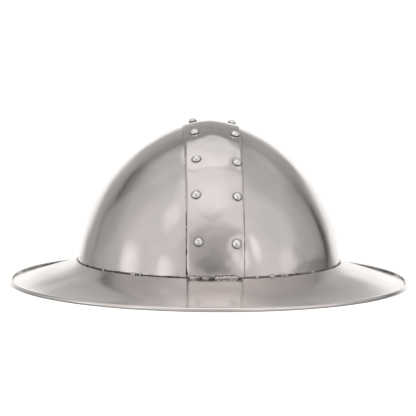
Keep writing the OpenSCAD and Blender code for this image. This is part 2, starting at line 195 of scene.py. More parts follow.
def row_places(name, x):
    """The places and outward directions of one row's rivets."""
    places = []
    for i, (across, along) in enumerate(DRIFTS[name]):
        places.append(row_place(x + across * MM, i * RIVET_PITCH - RIVET_FIRST + along * MM))
    return places


RIVET_PLACES = {"left": row_places("left", ROW_X), "right": row_places("right", -ROW_X)}
RIVET_POINTS = [point for places in RIVET_PLACES.values() for point, _ in places]


def near_rivets(points, reach):
    """For each rivet, how near the points are to it: 1 at its middle, and falling off over the reach."""
    return [np.exp(-np.sum((points - point) ** 2, axis=-1) / reach ** 2) for point in RIVET_POINTS]


# Shallow hollows left by the hammer: turn from +X in degrees, height up the crown in millimetres, half width
# in degrees, half height and depth in millimetres
HOLLOWS = [
    (-128, 4, 9, 30, 0.45),
    (-110, 2, 6, 24, 0.35),
    (-142, 10, 10, 34, 0.35),
    (-58, 8, 7, 38, 0.40),
    (-40, 20, 10, 46, -0.35),
    (-118, 46, 12, 24, 0.30),
    (-66, 62, 12, 26, 0.25),
    (60, 20, 10, 34, 0.40),
    (125, 36, 12, 34, 0.40),
    (160, 16, 9, 30, 0.35),
    (15, 14, 9, 30, 0.35),
]


def crown_dents(points):
    """How far the hammered crown stands off its even curve, along the outward direction."""
    height = points[..., 2] - SEAM_Z
    turn = np.degrees(np.arctan2(points[..., 1] / OVAL, points[..., 0]))
    off = uneven(points, (0.26, 90, 11), (0.075, 36, 12), (0.012, 14, 13))
    for at_turn, at_height, wide, high, depth in HOLLOWS:
        away = (turn - at_turn + 180) % 360 - 180
        reach = (away / wide) ** 2 + ((height - at_height * MM) / (high * MM)) ** 2
        off -= depth * MM * np.exp(-reach)
    # The crown is even along the weld, and pressed in under each rivet
    off *= clamp(height / (9 * MM))
    for near in near_rivets(points, 7 * MM):
        off -= 0.22 * MM * near
    return off


# ---- Mesh making ----
def grid_faces(rows, cols, closed, start=0, flip=False):
    faces = []
    for i in range(rows - 1):
        for j in range(cols if closed else cols - 1):
            k = (j + 1) % cols
            low, high = start + i * cols, start + (i + 1) * cols
            quad = [low + j, low + k, high + k, high + j]
            faces.append(quad[::-1] if flip else quad)
    return faces


def shell(outer, inner, closed=False):
    """A solid sheet between two grids of points, with its borders joined."""
    rows, cols = outer.shape[:2]
    size = rows * cols
    faces = grid_faces(rows, cols, closed)
    faces += grid_faces(rows, cols, closed, size, True)
    for i, flip in ((0, True), (rows - 1, False)):
        for j in range(cols if closed else cols - 1):
            a, b = i * cols + j, i * cols + (j + 1) % cols
            quad = [a, b, size + b, size + a]
            faces.append(quad if flip else quad[::-1])
    if not closed:
        for j, flip in ((0, False), (cols - 1, True)):
            for i in range(rows - 1):
                a, b = i * cols + j, (i + 1) * cols + j
                quad = [a, b, size + b, size + a]
                faces.append(quad if flip else quad[::-1])
    return np.concatenate([outer.reshape(-1, 3), inner.reshape(-1, 3)]), faces


def tube(rings, closed):
    """A solid from rings of points, where a closed one joins its last ring to its first."""
    rows, cols = rings.shape[:2]
    if closed:
        rings = np.concatenate([rings, rings[:1]])
        faces = [[v % (rows * cols) for v in face] for face in grid_faces(rows + 1, cols, True)]
        return rings[:-1].reshape(-1, 3), faces
    faces = grid_faces(rows, cols, True)
    faces.append(list(range(cols))[::-1])
    faces.append([(rows - 1) * cols + j for j in range(cols)])
    return rings.reshape(-1, 3), faces


def lathe(profile, segments):
    """A turned solid round Z, whose profile starts and ends on the axis."""
    turn = full_turn(segments)
    rings = [np.stack([r * np.cos(turn), r * np.sin(turn), z + 0 * turn], -1) for r, z in profile[1:-1]]
    rows = len(rings)
    points = np.concatenate([*rings, [[0, 0, profile[0][1]], [0, 0, profile[-1][1]]]])
    faces = grid_faces(rows, segments, True)
    first, last = rows * segments, rows * segments + 1
    for j in range(segments):
        k = (j + 1) % segments
        faces.append([first, k, j])
        faces.append([last, (rows - 1) * segments + j, (rows - 1) * segments + k])
    return points, faces


def joined(parts):
    """Several (points, faces) as one."""
    points, faces, start = [], [], 0
    for part_points, part_faces in parts:
        points.append(part_points)
        faces += [[v + start for v in face] for face in part_faces]
        start += len(part_points)
    return np.concatenate(points), faces


def mesh_object(name, points, faces):
    mesh = bpy.data.meshes.new(name)
    mesh.from_pydata([tuple(p) for p in points], [], faces)
    work = bmesh.new()
    work.from_mesh(mesh)
    bmesh.ops.recalc_face_normals(work, faces=work.faces)
    work.to_mesh(mesh)
    work.free()
    mesh.shade_smooth()
    obj = bpy.data.objects.new(name, mesh)
    bpy.context.scene.collection.objects.link(obj)
    return obj


def finish_piece(obj, material, body, slot, *nodes):
    """Gives a piece its material and its body, and hides the CAD nodes that it stands for; its slot is not
    used.
    """
    obj.data.materials.clear()
    obj.data.materials.append(material)
    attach(obj, body)
    if nodes:
        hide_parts(*nodes)
    return obj


def paint(obj, name, values):
    """Stores a number for each vertex, for the material to read."""
    attribute = obj.data.attributes.new(name, "FLOAT", "POINT")
    attribute.data.foreach_set("value", np.asarray(values, np.float32).ravel())


def paint_inside(obj):
    """Marks the second half of a shell's points, which is its inner grid."""
    half = len(obj.data.vertices) // 2
    paint(obj, "inner", [0] * half + [1] * half)


def paint_edge(obj, edge):
    """Marks a shell's edges, alike on both of its grids."""
    paint(obj, "edge", np.concatenate([edge.ravel(), edge.ravel()]))


def round_edges(obj, width, segments=2):
    bevel = obj.modifiers.new("round_edges", "BEVEL")
    bevel.width = width
    bevel.segments = segments
    bevel.limit_method = "ANGLE"
    bevel.angle_limit = math.radians(40)
    return obj


def cut(obj, cutters):
    """Takes the cutters out of obj for good."""
    for cutter in cutters:
        modifier = obj.modifiers.new("cut", "BOOLEAN")
        modifier.object = cutter
        modifier.operation = "DIFFERENCE"
        modifier.solver = "EXACT"
    graph = bpy.context.evaluated_depsgraph_get()
    cut_mesh = bpy.data.meshes.new_from_object(obj.evaluated_get(graph))
    obj.modifiers.clear()
    obj.data = cut_mesh
    for cutter in cutters:
        bpy.data.objects.remove(cutter)
    return obj


# ---- Materials ----
class Nodes:
    """The node tree of a material or a world, with short calls for making and linking nodes."""

    def __init__(self, owner, empty=False):
        owner.use_nodes = True
        self.tree = owner.node_tree
        if empty:
            self.tree.nodes.clear()

    def feed(self, socket, value):
        """Gives a socket a number, a vector, a colour or another node's output."""
        if isinstance(value, bpy.types.NodeSocket):
            self.tree.links.new(value, socket)
        elif socket.type == "RGBA":
            socket.default_value = (*value, 1)
        else:
            socket.default_value = value

    def node(self, kind, inputs=None, **settings):
        """A node with the given settings. Its inputs are given by name or number."""
        made = self.tree.nodes.new(kind)
        for name, value in settings.items():
            setattr(made, name, value)
        for key, value in (inputs or {}).items():
            self.feed(made.inputs[key], value)
        return made

    def math(self, operation, a, b=0.0):
        return self.node("ShaderNodeMath", {0: a, 1: b}, operation=operation).outputs[0]

    def vector(self, operation, a, b=(0, 0, 0)):
        return self.node("ShaderNodeVectorMath", {0: a, 1: b}, operation=operation)

    def ramp(self, source, stops, smooth=False):
        """A ramp whose stops are (position, colour), where a colour is a number or three numbers."""
        node = self.node("ShaderNodeValToRGB", {"Fac": source})
        node.color_ramp.interpolation = "EASE" if smooth else "LINEAR"
        elements = node.color_ramp.elements
        while len(elements) < len(stops):
            elements.new(0.5)
        for element, (position, colour) in zip(elements, stops):
            element.position = position
            element.color = (*(colour if isinstance(colour, tuple) else grey(colour)), 1)
        return node.outputs["Color"]

    def mix(self, fac, a, b, blend="MIX"):
        return self.node("ShaderNodeMix", {0: fac, 6: a, 7: b}, data_type="RGBA", blend_type=blend).outputs[2]


def grey(value):
    return (value, value, value)


class Paint(Nodes):
    """A material, with calls for the patterns that these materials use. Patterns are in millimetres."""

    def __init__(self, name):
        self.material = bpy.data.materials.new(name)
        super().__init__(self.material)
        self.shader = self.tree.nodes["Principled BSDF"]
        self.place = self.scaled(self.node("ShaderNodeTexCoord").outputs["Object"], grey(1 / MM))

    def scaled(self, vector, factors):
        return self.vector("MULTIPLY", vector, factors).outputs[0]

    def noise(self, size, detail=2.0, stretch=(1, 1, 1), roughness=0.5):
        """Noise whose patches are about size millimetres across."""
        source = self.scaled(self.place, stretch)
        inputs = {"Vector": source, "Scale": 1 / size, "Detail": detail, "Roughness": roughness}
        return self.node("ShaderNodeTexNoise", inputs).outputs["Fac"]

    def coordinates(self):
        return self.node("ShaderNodeSeparateXYZ", {0: self.place}).outputs

    def near(self, value, at, reach):
        """1 where the value is at the given one, falling softly to 0 at the given reach."""
        away = self.math("ABSOLUTE", self.math("SUBTRACT", value, at))
        return self.ramp(self.math("DIVIDE", away, reach), [(0.25, 1.0), (1.0, 0.0)], True)

    def oval_radius(self):
        """Distance from the helmet's axis, with the oval's stretch taken out."""
        x, y, _ = self.coordinates()
        y = self.math("DIVIDE", y, OVAL)
        square = self.math("ADD", self.math("MULTIPLY", x, x), self.math("MULTIPLY", y, y))
        return self.math("SQRT", square)

    def attribute(self, name):
        return self.node("ShaderNodeAttribute", attribute_name=name).outputs["Fac"]

    def bump(self, height, depth, before=None):
        """Bump of the given depth, on top of another bump."""
        inputs = {"Strength": 1, "Distance": depth * MM, "Height": height}
        if before is not None:
            inputs["Normal"] = before
        return self.node("ShaderNodeBump", inputs).outputs["Normal"]

    def done(self, colour, roughness, normal, **settings):
        inputs = {"Base Color": colour, "Roughness": roughness, "Normal": normal, **settings}
        for name, value in inputs.items():
            self.feed(self.shader.inputs[name], value)
        return self.material


# Colour of the dark paste, which also paints the shade in crevices and round the rivets
PASTE_SHADE_COLOUR = (0.035, 0.030, 0.028)
FORGE_SCALE = [(0.35, (0.20, 0.185, 0.175)), (0.65, (0.36, 0.345, 0.33))]
# Near-white colour of the painted highlight towards the brim's edge
RIM_PAINTED_HIGHLIGHT = (1.0, 0.97, 0.955)


def crown_paste_and_shade(p):
    """Black polishing paste and painted shade in the crevices along the band's edges and above the weld."""
    x, y, z = p.coordinates()
    middle = p.math("ADD", p.math("MULTIPLY", y, BAND_LEAN), BAND_SHIFT / MM)
    from_middle = p.math("ABSOLUTE", p.math("SUBTRACT", x, middle))
    # Dark lines beside the band: paste and painted shade in the crevice
    # The gap beside the band is wider on the wearer's right, and narrow from half height up
    left = p.near(from_middle, BAND_HALF / MM + 0.5, 0.95)
    right = p.near(from_middle, BAND_HALF / MM + 0.45, 1.4)
    side = p.ramp(p.math("ADD", p.math("DIVIDE", x, 100.0), 0.5), [(0.49, 1.0), (0.51, 0.0)])
    edge = p.mix(side, p.math("MULTIPLY", left, 0.8), right)
    height = p.math("DIVIDE", z, SKULL_HIGH.z / MM)
    edge = p.math("MULTIPLY", edge, p.ramp(height, [(0.42, 1.0), (0.60, 0.45)], True))
    broken = p.ramp(p.noise(9, 4, roughness=0.7), [(0.36, 0.35), (0.56, 1.0)])
    edge = p.math("MULTIPLY", edge, broken)
    patchiness = p.ramp(p.noise(6, 5, roughness=0.7), [(0.40, 0.0), (0.62, 0.9)])
    # A dark line along the crown's foot: paste and painted shade above the weld
    foot = p.math("MULTIPLY", p.near(z, SEAM_Z / MM, 1.3), patchiness)
    return p.math("MAXIMUM", edge, foot)


def brim_paste_and_shade(p):
    """Paste and painted shade beside the weld and in the crease of the rolled edge."""
    radius = p.oval_radius()
    patchiness = p.ramp(p.noise(6, 5, roughness=0.7), [(0.38, 0.1), (0.60, 0.9)])
    # Dark line beside the weld: paste and painted shade
    weld = p.math("MULTIPLY", p.near(radius, CROWN_A / MM, 1.8), patchiness)
    broken = p.ramp(p.noise(14, 4, roughness=0.6), [(0.36, 0.35), (0.62, 0.9)])
    # Dark line in the crease of the roll: paste and painted shade
    crease = p.near(radius, (BRIM_OUT - 2 * ROLL_R) / MM + 0.15, 0.75)
    return p.math("MAXIMUM", weld, p.math("MULTIPLY", crease, broken))


def piece_paste_and_shade(p):
    """Paste and painted shade where the mesh says so."""
    return p.attribute("paste_and_shade")


def steel(name, light, dark, smooth, rough, brush=(1, 1, 40), paste_and_shade=piece_paste_and_shade, rim=0.0):
    """Polished steel: patches of polish, fine brushing, thin scratches, a duller inside, and dark paste that
    also paints shade in crevices.

    Rim is how far the colour is painted brighter towards the brim's edge: a painted highlight."""
    p = Paint(name)
    grain = p.noise(9, 4, brush, 0.7)
    colour = p.ramp(p.noise(46, 3), [(0.3, dark), (0.7, light)], True)
    colour = p.mix(1.0, colour, p.ramp(grain, [(0.3, 0.93), (0.7, 1.0)]), "MULTIPLY")
    # Painted highlight: the colour turns near-white towards the brim's edge
    if rim:
        out = p.math("DIVIDE", p.oval_radius(), BRIM_OUT / MM)
        colour = p.mix(p.ramp(out, [(0.80, 0.0), (0.93, rim)], True), colour, RIM_PAINTED_HIGHLIGHT)
    scratches = p.ramp(p.noise(26, 5, (5, 1, 0.6), 0.8), [(0.63, 0.0), (0.67, 1.0)])
    polish = p.ramp(p.noise(30, 4, roughness=0.65), [(0.3, smooth), (0.72, rough)], True)
    roughness = p.mix(0.25, polish, p.ramp(grain, [(0.3, smooth), (0.7, rough * 1.35)]))
    roughness = p.mix(scratches, roughness, p.mix(0.5, roughness, grey(0.4)))
    inside = p.attribute("inner")
    colour = p.mix(inside, colour, p.ramp(p.noise(12, 6, roughness=0.7), FORGE_SCALE))
    roughness = p.mix(inside, roughness, grey(0.42))
    # Dark paste and painted shade, where the given mask says so
    paste_shade = paste_and_shade(p)
    colour = p.mix(paste_shade, colour, PASTE_SHADE_COLOUR)
    roughness = p.mix(paste_shade, roughness, grey(0.55))
    normal = p.bump(grain, 0.004, p.bump(p.noise(5, 3), 0.010))
    return p.done(colour, roughness, normal, Metallic=1.0)


def weld_metal(name):
    """Dark scale with bright metal where the grinder touched the bead."""
    p = Paint(name)
    patch = p.math("MULTIPLY", p.noise(2.2, 4, roughness=0.7), 0.55)
    ground = p.ramp(p.math("ADD", p.attribute("proud"), patch), [(0.55, 0.0), (0.80, 1.0)])
    scale = p.ramp(p.noise(1.4, 5), [(0.3, (0.05, 0.045, 0.042)), (0.7, (0.24, 0.22, 0.205))])
    brushed = p.ramp(p.noise(38, 3, roughness=0.6), [(0.42, 0.0), (0.60, 0.85)], True)
    scale = p.mix(brushed, scale, (0.40, 0.375, 0.355))
    bright = p.ramp(p.noise(3, 3), [(0.3, (0.52, 0.50, 0.485)), (0.7, (0.80, 0.78, 0.76))])
    roughness = p.mix(ground, grey(0.62), grey(0.30))
    return p.done(p.mix(ground, scale, bright), roughness, p.bump(p.noise(0.9, 4), 0.10), Metallic=1.0)


def plain_steel(name):
    """Dull grey steel with forge scale in patches."""
    p = Paint(name)
    patches = p.noise(4, 5, roughness=0.65)
    colour = p.ramp(patches, [(0.35, (0.16, 0.15, 0.145)), (0.62, (0.42, 0.405, 0.39))])
    roughness = p.ramp(patches, [(0.35, 0.55), (0.65, 0.30)])
    return p.done(colour, roughness, p.bump(p.noise(0.8, 4), 0.03), Metallic=1.0)


def brass(name):
    """Brass with a brown tarnish in patches."""
    p = Paint(name)
    tarnish = p.noise(2.5, 5, roughness=0.7)
    shades = [(0.32, (0.30, 0.19, 0.08)), (0.55, (0.70, 0.50, 0.22)), (0.75, (0.83, 0.64, 0.32))]
    colour = p.ramp(tarnish, shades)
    roughness = p.ramp(tarnish, [(0.3, 0.5), (0.7, 0.24)])
    return p.done(colour, roughness, p.bump(p.noise(0.7, 4), 0.015), Metallic=1.0)


def leather(name, light, dark, edge, grain_size, grain_depth, roughness):
    """Leather: pebbled grain with pores, worn lighter patches and darker burnished edges."""
    p = Paint(name)
    warped = p.vector("ADD", p.place, p.scaled(p.noise(3, 2), grey(1.2))).outputs[0]
    pebbles = {"Vector": warped, "Scale": 1 / grain_size}
    gaps = p.node("ShaderNodeTexVoronoi", pebbles, feature="DISTANCE_TO_EDGE").outputs["Distance"]
    creases = p.ramp(gaps, [(0.0, 0.0), (0.16, 1.0)], True)
    pores = p.ramp(p.noise(0.35, 2), [(0.30, 0.0), (0.42, 1.0)])
    patches = p.noise(14, 5, roughness=0.6)
    colour = p.ramp(patches, [(0.3, dark), (0.7, light)], True)
    colour = p.mix(1.0, colour, p.ramp(creases, [(0.0, 0.72), (1.0, 1.0)]), "MULTIPLY")
    colour = p.mix(p.attribute("edge"), colour, edge)
    shine = p.ramp(patches, [(0.3, roughness + 0.08), (0.7, roughness - 0.08)])
    normal = p.bump(pores, 0.03, p.bump(creases, grain_depth))
    normal = p.bump(p.noise(7, 3), 0.25, normal)
    wax = {"Specular IOR Level": 0.45, "Coat Weight": 0.12, "Coat Roughness": 0.35}
    return p.done(colour, shine, normal, **wax)


def thread(name, light, dark):
    """Waxed linen: fine twisted strands."""
    p = Paint(name)
    twist = {"Vector": p.place, "Scale": 1.6, "Distortion": 1.5}
    strands = p.node("ShaderNodeTexWave", twist, wave_type="BANDS", bands_direction="DIAGONAL").outputs["Fac"]
    colour = p.ramp(strands, [(0.2, dark), (0.8, light)])
    shine = p.ramp(p.noise(2, 3), [(0.3, 0.6), (0.7, 0.8)])
    return p.done(colour, shine, p.bump(strands, 0.08), **{"Sheen Weight": 0.2})


POLISHED = steel(
    "polished_steel", light=(0.755, 0.712, 0.700), dark=(0.68, 0.655, 0.658),
    smooth=0.08, rough=0.15, paste_and_shade=crown_paste_and_shade)
BAND_STEEL = steel(
    "band_steel", light=(0.79, 0.752, 0.738), dark=(0.71, 0.673, 0.660),
    smooth=0.09, rough=0.17, brush=(40, 1, 1))
# The brim's colour is painted brighter towards its edge: a painted highlight
BRIM_STEEL = steel(
    "brim_steel", light=(0.755, 0.712, 0.698), dark=(0.69, 0.665, 0.664),
    smooth=0.13, rough=0.20, paste_and_shade=brim_paste_and_shade, rim=0.55)
# The rivets' near-white colour, brighter than the other steel, paints bright highlights on their heads
RIVET_STEEL = steel(
    "rivet_steel", light=(1.0, 0.995, 0.99), dark=(0.93, 0.925, 0.92),
    smooth=0.10, rough=0.22, brush=(1, 1, 1))
WELD = weld_metal("weld_steel")
PLAIN = plain_steel("plain_steel")
BRASS = brass("brass")
HEADBAND_LEATHER = leather(
    "headband_leather", light=(0.36, 0.19, 0.095), dark=(0.22, 0.11, 0.055), edge=(0.10, 0.05, 0.028),
    grain_size=1.6, grain_depth=0.10, roughness=0.50)
LEAF_LEATHER = leather(
    "leaf_leather", light=(0.56, 0.38, 0.22), dark=(0.42, 0.27, 0.15), edge=(0.24, 0.14, 0.07),
    grain_size=1.2, grain_depth=0.07, roughness=0.58)
STRAP_LEATHER = leather(
    "strap_leather", light=(0.20, 0.095, 0.05), dark=(0.11, 0.052, 0.028), edge=(0.035, 0.018, 0.012),
    grain_size=1.3, grain_depth=0.10, roughness=0.42)
THONG = leather(
    "lace_thong", light=(0.25, 0.15, 0.085), dark=(0.15, 0.085, 0.045), edge=(0.08, 0.045, 0.025),
    grain_size=0.9, grain_depth=0.06, roughness=0.50)
THREAD = thread("waxed_thread", light=(0.62, 0.52, 0.36), dark=(0.36, 0.28, 0.17))


# ---- Half skulls ----
SKULL_ROWS = 110
SKULL_COLS = 150


def skull(side):
    """One half of the crown, on the wearer's left where side is 1 and right where it is -1."""
    lift = np.radians(np.linspace(0, 90, SKULL_ROWS))[:, None]
    turn = np.radians(np.linspace(-90, 90, SKULL_COLS))[None, :]
    r = CROWN_A * np.cos(lift) ** (2 / ROUND)
    h = CROWN_H * np.sin(lift) ** (2 / ROUND)
    outer = oval_points(r, turn, SEAM_Z + h)
    normal = crown_normals(outer)
    outer = outer + normal * crown_dents(outer * [side, 1, 1])[..., None]
    inner = outer - PLATE_T * normal
    foot_out = oval_points(CROWN_A, turn, SKULL_FOOT_Z)
    foot_in = oval_points(CROWN_A - PLATE_T, turn, SKULL_FOOT_Z)
    outer = np.concatenate([foot_out, outer])
    inner = np.concatenate([foot_in, inner])
    # The two halves stop short of each other under the band
    for grid in (outer, inner):
        grid[..., 0] = side * (BUTT_X + grid[..., 0] * (CROWN_A - BUTT_X) / CROWN_A)
    points, faces = shell(outer, inner)
    name = "left" if side > 0 else "right"
    obj = mesh_object(f"skull_plate_{name}", points, faces)
    paint_inside(obj)
    return finish_piece(obj, POLISHED, "helmet", "polished_steel", f"skull_{name}")


skull(1)
skull(-1)


# ---- Sizes of the band's rivets ----
HEAD_R = 3.85 * MM
HEAD_H = 3.2 * MM
SHANK_R = 1.8 * MM
TAIL_R = 3.0 * MM
TAIL_H = 1.2 * MM
HEAD_BASE = 1.60 * MM
HEAD_UNDER = 1.35 * MM
TAIL_BASE = -1.66 * MM
LIP = 0.15 * MM
RIVET_SEGMENTS = 36
HAMMER_FLATS = 5

# ---- Centre band ----
BAND_ROWS = 420
BAND_COLS = 84
BAND_CORNER = 4 * MM
BAND_GAP = 0.12 * MM
BAND_OUT = 1.45 * MM
BAND_WORN = 0.55 * MM


def crown_over(x, phi):
    """Point of the crown at x, at the angle phi round from the front foot over the top to the back foot."""
    flat = OVAL * np.sqrt(CROWN_A ** 2 - x ** 2)
    shape = np.broadcast(x, phi).shape
    near, far = np.zeros(shape), np.full(shape, 1.5)
    # Halving the reach from the middle of the crown until it ends on the outside
    for _ in range(40):
        t = (near + far) / 2
        y, h = -t * flat * np.cos(phi), t * CROWN_H * np.sin(phi)
        inside = (flat_r(x, y) / CROWN_A) ** ROUND + (h / CROWN_H) ** ROUND < 1
        near, far = np.where(inside, t, near), np.where(inside, far, t)
    return np.stack(np.broadcast_arrays(x, y, SEAM_Z + h), -1)


def band_foot_angle(x):
    """The angle phi of the band's lower edge at x, with its rounded corners."""
    past = np.clip(np.abs(x) - (BAND_HALF - BAND_CORNER), 0, BAND_CORNER)
    h = BAND_FOOT + BAND_CORNER - np.sqrt(BAND_CORNER ** 2 - past ** 2)
    flat = OVAL * np.sqrt(CROWN_A ** 2 - x ** 2)
    y = OVAL * np.sqrt(crown_radius(h) ** 2 - x ** 2)
    return np.arctan2(h / CROWN_H, y / flat)


def centre_band():
    """The band over the crown, whose grid runs across it and from the front foot to the back one."""
    x = -BAND_HALF * np.cos(np.linspace(0, math.pi, BAND_COLS))[None, :]
    foot = band_foot_angle(x)
    phi = foot + (math.pi - 2 * foot) * np.linspace(0, 1, BAND_ROWS)[:, None]
    shift = BAND_SHIFT - BAND_LEAN * CROWN_A * OVAL * np.cos(phi)
    base = crown_over(x + shift, phi)
    normal = crown_normals(base)
    off = crown_dents(base)
    # Between the rivets the edges spring a little off the skulls
    edge = (np.abs(x) / BAND_HALF) ** 5
    spring = 0.30 * MM * edge * np.clip(0.7 + waves(base, 55 * MM, 21), 0, 2)
    ripple = 0.10 * MM * np.clip(1.2 + waves(base, 30 * MM, 22), 0, 3)
    ripple = ripple + uneven(base, (0.02, 11, 23))
    for near in near_rivets(base, 8 * MM):
        spring = spring * (1 - near)
        ripple = ripple * (1 - 0.8 * near)
    worn = BAND_WORN * clamp(1 - (BAND_HALF - np.abs(x)) / (1.5 * MM)) ** 2
    inner = base + normal * (off + BAND_GAP + spring)[..., None]
    outer = base + normal * (off + BAND_OUT + spring + ripple - worn)[..., None]
    points, faces = shell(outer, inner)
    obj = mesh_object("centre_band_plate", points, faces)
    paint_inside(obj)
    # Paste and painted shade are left in a dark ring round each rivet's head
    ring = np.zeros(base.shape[:2])
    for point in RIVET_POINTS:
        away = np.linalg.norm(base - point, axis=-1) - HEAD_R
        ring = np.maximum(ring, 0.85 * bell(away, 0.55 * MM))
    paint(obj, "paste_and_shade", np.concatenate([ring.ravel(), 0 * ring.ravel()]))
    round_edges(obj, 0.35 * MM, 3)
    return finish_piece(obj, BAND_STEEL, "helmet", "polished_steel", "centre_band")


centre_band()


# ---- Rivets of the band ----
def dome_profile(radius, height, steps):
    """(r, z) from the top of a spherical cap down to its edge at z = 0."""
    ball = (radius ** 2 + height ** 2) / (2 * height)
    reach = math.acos((ball - height) / ball)
    profile = []
    for i in range(steps + 1):
        a = reach * i / steps
        profile.append((ball * math.sin(a), ball * math.cos(a) - (ball - height)))
    return profile


def rivet(rng):
    """One rivet at the crown's surface, +Z outward: hammered head, shank and peened tail."""
    head = [(r, z + HEAD_BASE) for r, z in dome_profile(HEAD_R, HEAD_H, 14)]
    rim = [(HEAD_R, HEAD_BASE - LIP), (HEAD_R * 0.9, HEAD_UNDER), (SHANK_R, HEAD_UNDER)]
    shank = [(SHANK_R, TAIL_BASE), (TAIL_R * 0.94, TAIL_BASE), (TAIL_R, TAIL_BASE - LIP)]
    tail = [(r, TAIL_BASE - LIP - z) for r, z in dome_profile(TAIL_R, TAIL_H - LIP, 7)][::-1]
    points, faces = lathe(head + rim + shank + tail[1:], RIVET_SEGMENTS)
    centre = np.array([0, 0, HEAD_BASE])
    top = points[:, 2] > HEAD_BASE
    # Flats left by the hammer, and a small punch mark in the middle
    for _ in range(HAMMER_FLATS):
        tilt, turn = rng.uniform(0.25, 1.05), rng.uniform(0, 2 * math.pi)
        flat = np.array([math.sin(tilt) * math.cos(turn), math.sin(tilt) * math.sin(turn), math.cos(tilt)])
        over = (points - centre) @ flat - rng.uniform(0.88, 0.95) * HEAD_H * 1.06
        points -= np.where(top & (over > 0), 0.75 * over, 0)[:, None] * flat
    middle = np.hypot(points[:, 0], points[:, 1])
    points[:, 2] -= np.where(top, 0.16 * MM * bell(middle, 0.5 * MM), 0)
    rough = uneven(points + rng.uniform(-1, 1, 3), (0.035, 3, int(rng.integers(1000))))
    points += np.where(np.abs(points[:, 2:3]) > 1.5 * MM, rough[:, None], 0) * [1, 1, 0.5]
    points[:, :2] *= rng.uniform(0.96, 1.05)
    points[:, :2] += rng.uniform(-0.07, 0.07, 2) * clamp(points[:, 2:3] - HEAD_BASE)
    return points, faces


def placed(points, place, normal):
    """Points turned so that +Z is the normal, and moved to the place."""
    turn = Vector((0, 0, 1)).rotation_difference(Vector(normal)).to_matrix()
    return points @ np.array(turn).T + place


def band_rivets(name, seed):
    """One row of rivets, each hammered a little differently."""
    rng = np.random.default_rng(seed)
    parts, paste_shade = [], []
    for place, normal in RIVET_PLACES[name]:
        points, faces = rivet(rng)
        place = place + normal * float(crown_dents(place))
        parts.append((placed(points, place, normal), faces))
        # Each head is painted darker towards its base: paste and painted shade where it meets the band
        height = (points @ [0, 0, 1] - HEAD_BASE) / MM
        paste_shade.append(np.clip(1.15 - height / 0.9, 0, 0.9) * (height > -0.3))
    points, faces = joined(parts)
    obj = mesh_object(f"rivet_row_{name}", points, faces)
    paint(obj, "paste_and_shade", np.concatenate(paste_shade))
    return finish_piece(obj, RIVET_STEEL, "helmet", "rivet_steel", f"band_rivets_{name}")


band_rivets("left", 31)
band_rivets("right", 32)


# ---- Brim ----
BRIM_TURNS = 720
BRIM_A = BRIM_OUT - ROLL_R
BRIM_WIDTH = BRIM_A - CROWN_A
BRIM_HEIGHTS = [SEAM_Z, 0.54 * SEAM_Z, 0.62 * SEAM_Z, ROLL_Z + 0.4 * MM, ROLL_Z]
BRIM_STEPS = 46
# Where the plate runs into the roll, as a share of the brim's width
ROLL_START = 1 - 0.97 * ROLL_R / BRIM_WIDTH
# The seam where the roll's ends meet: its turn from +X in degrees, and its depth
ROLL_SEAM_TURN = 269
ROLL_SEAM_DEPTH = 0.45 * MM


def brim_z(s):
    """Height of the brim's top at the share s of its width: a Bezier curve that BRIM_HEIGHTS steer."""
    m = 1 - s
    z0, z1, z2, z3, z4 = BRIM_HEIGHTS
    return m ** 4 * z0 + 4 * m ** 3 * s * z1 + 6 * (m * s) ** 2 * z2 + 4 * m * s ** 3 * z3 + s ** 4 * z4


def brim_section():
    """(r, z, share of the width, on the roll) round the brim's section, from the seam out and back."""
    s = np.linspace(0, ROLL_START, BRIM_STEPS)
    slope = np.gradient(brim_z(s), s * BRIM_WIDTH)
    r = CROWN_A + s * BRIM_WIDTH
    top = np.stack([r, brim_z(s), s, 0 * s], -1)
    under = np.stack([r, brim_z(s) - BRIM_T * np.hypot(1, slope), s, 0 * s], -1)[::-1]
    a = np.radians(np.linspace(160, -158, 30))
    roll_z = np.maximum(ROLL_Z + ROLL_R * np.sin(a), 0)
    roll = np.stack([BRIM_A + ROLL_R * np.cos(a), roll_z, 1 + 0 * a, 1 + 0 * a], -1)
    # The curled edge ends in a groove under the plate
    groove = np.array([[BRIM_A - 1.08 * ROLL_R, 1.15 * MM, 1, 0]])
    return np.concatenate([top, roll, groove, under])


def brim():
    """The sloping plate with its rolled edge."""
    section = brim_section()
    turn = full_turn(BRIM_TURNS)[:, None]
    r, z, s, rolled = (section[None, :, i] for i in range(4))
    flat = oval_points(r, turn, 0 * z)
    swell = uneven(flat, (0.45, 150, 41), (0.10, 52, 42), (0.018, 20, 43))
    z = z + swell * 4 * s * (1 - s) * (1 - rolled)
    # The roll is closed by hand, so it isn't quite even, and its ends meet at the front
    wander = rolled * (0.10 * MM * waves(oval_points(1.0, turn, 0 * turn), 0.35, 44))
    away = (np.degrees(turn) - ROLL_SEAM_TURN + 180) % 360 - 180
    joint = rolled * ROLL_SEAM_DEPTH * bell(np.abs(away) - 0.9 * (1 - z / (2 * ROLL_R)), 0.35)
    points = oval_points(r + (wander - joint) * np.sign(r - BRIM_A), turn, z)
    points[..., 2] = np.where(rolled > 0, np.maximum(points[..., 2] - 0.6 * joint, 0), points[..., 2])
    obj = mesh_object("brim_plate", *tube(points, True))
    inner = np.zeros(points.shape[:2])
    inner[:, -BRIM_STEPS:] = 1
    paint(obj, "inner", inner)
    return finish_piece(obj, BRIM_STEEL, "helmet", "polished_steel", "brim")


brim()


# ---- Weld bead between crown and brim ----
BEAD_TURNS = 1500
BEAD_STEPS = 9
# Slope of the brim beside the crown
BRIM_FALL = math.atan2(BRIM_HEIGHTS[1] - BRIM_HEIGHTS[0], BRIM_WIDTH / 4)
# Where the weld was stopped and started again, along the front: place across and half width in millimetres,
# and extra size
RESTARTS = [(-68, 6.0, 1.0), (-39, 4.5, 0.6), (37, 5.0, 0.25), (57, 6.0, 0.4), (82, 4.0, 0.4)]


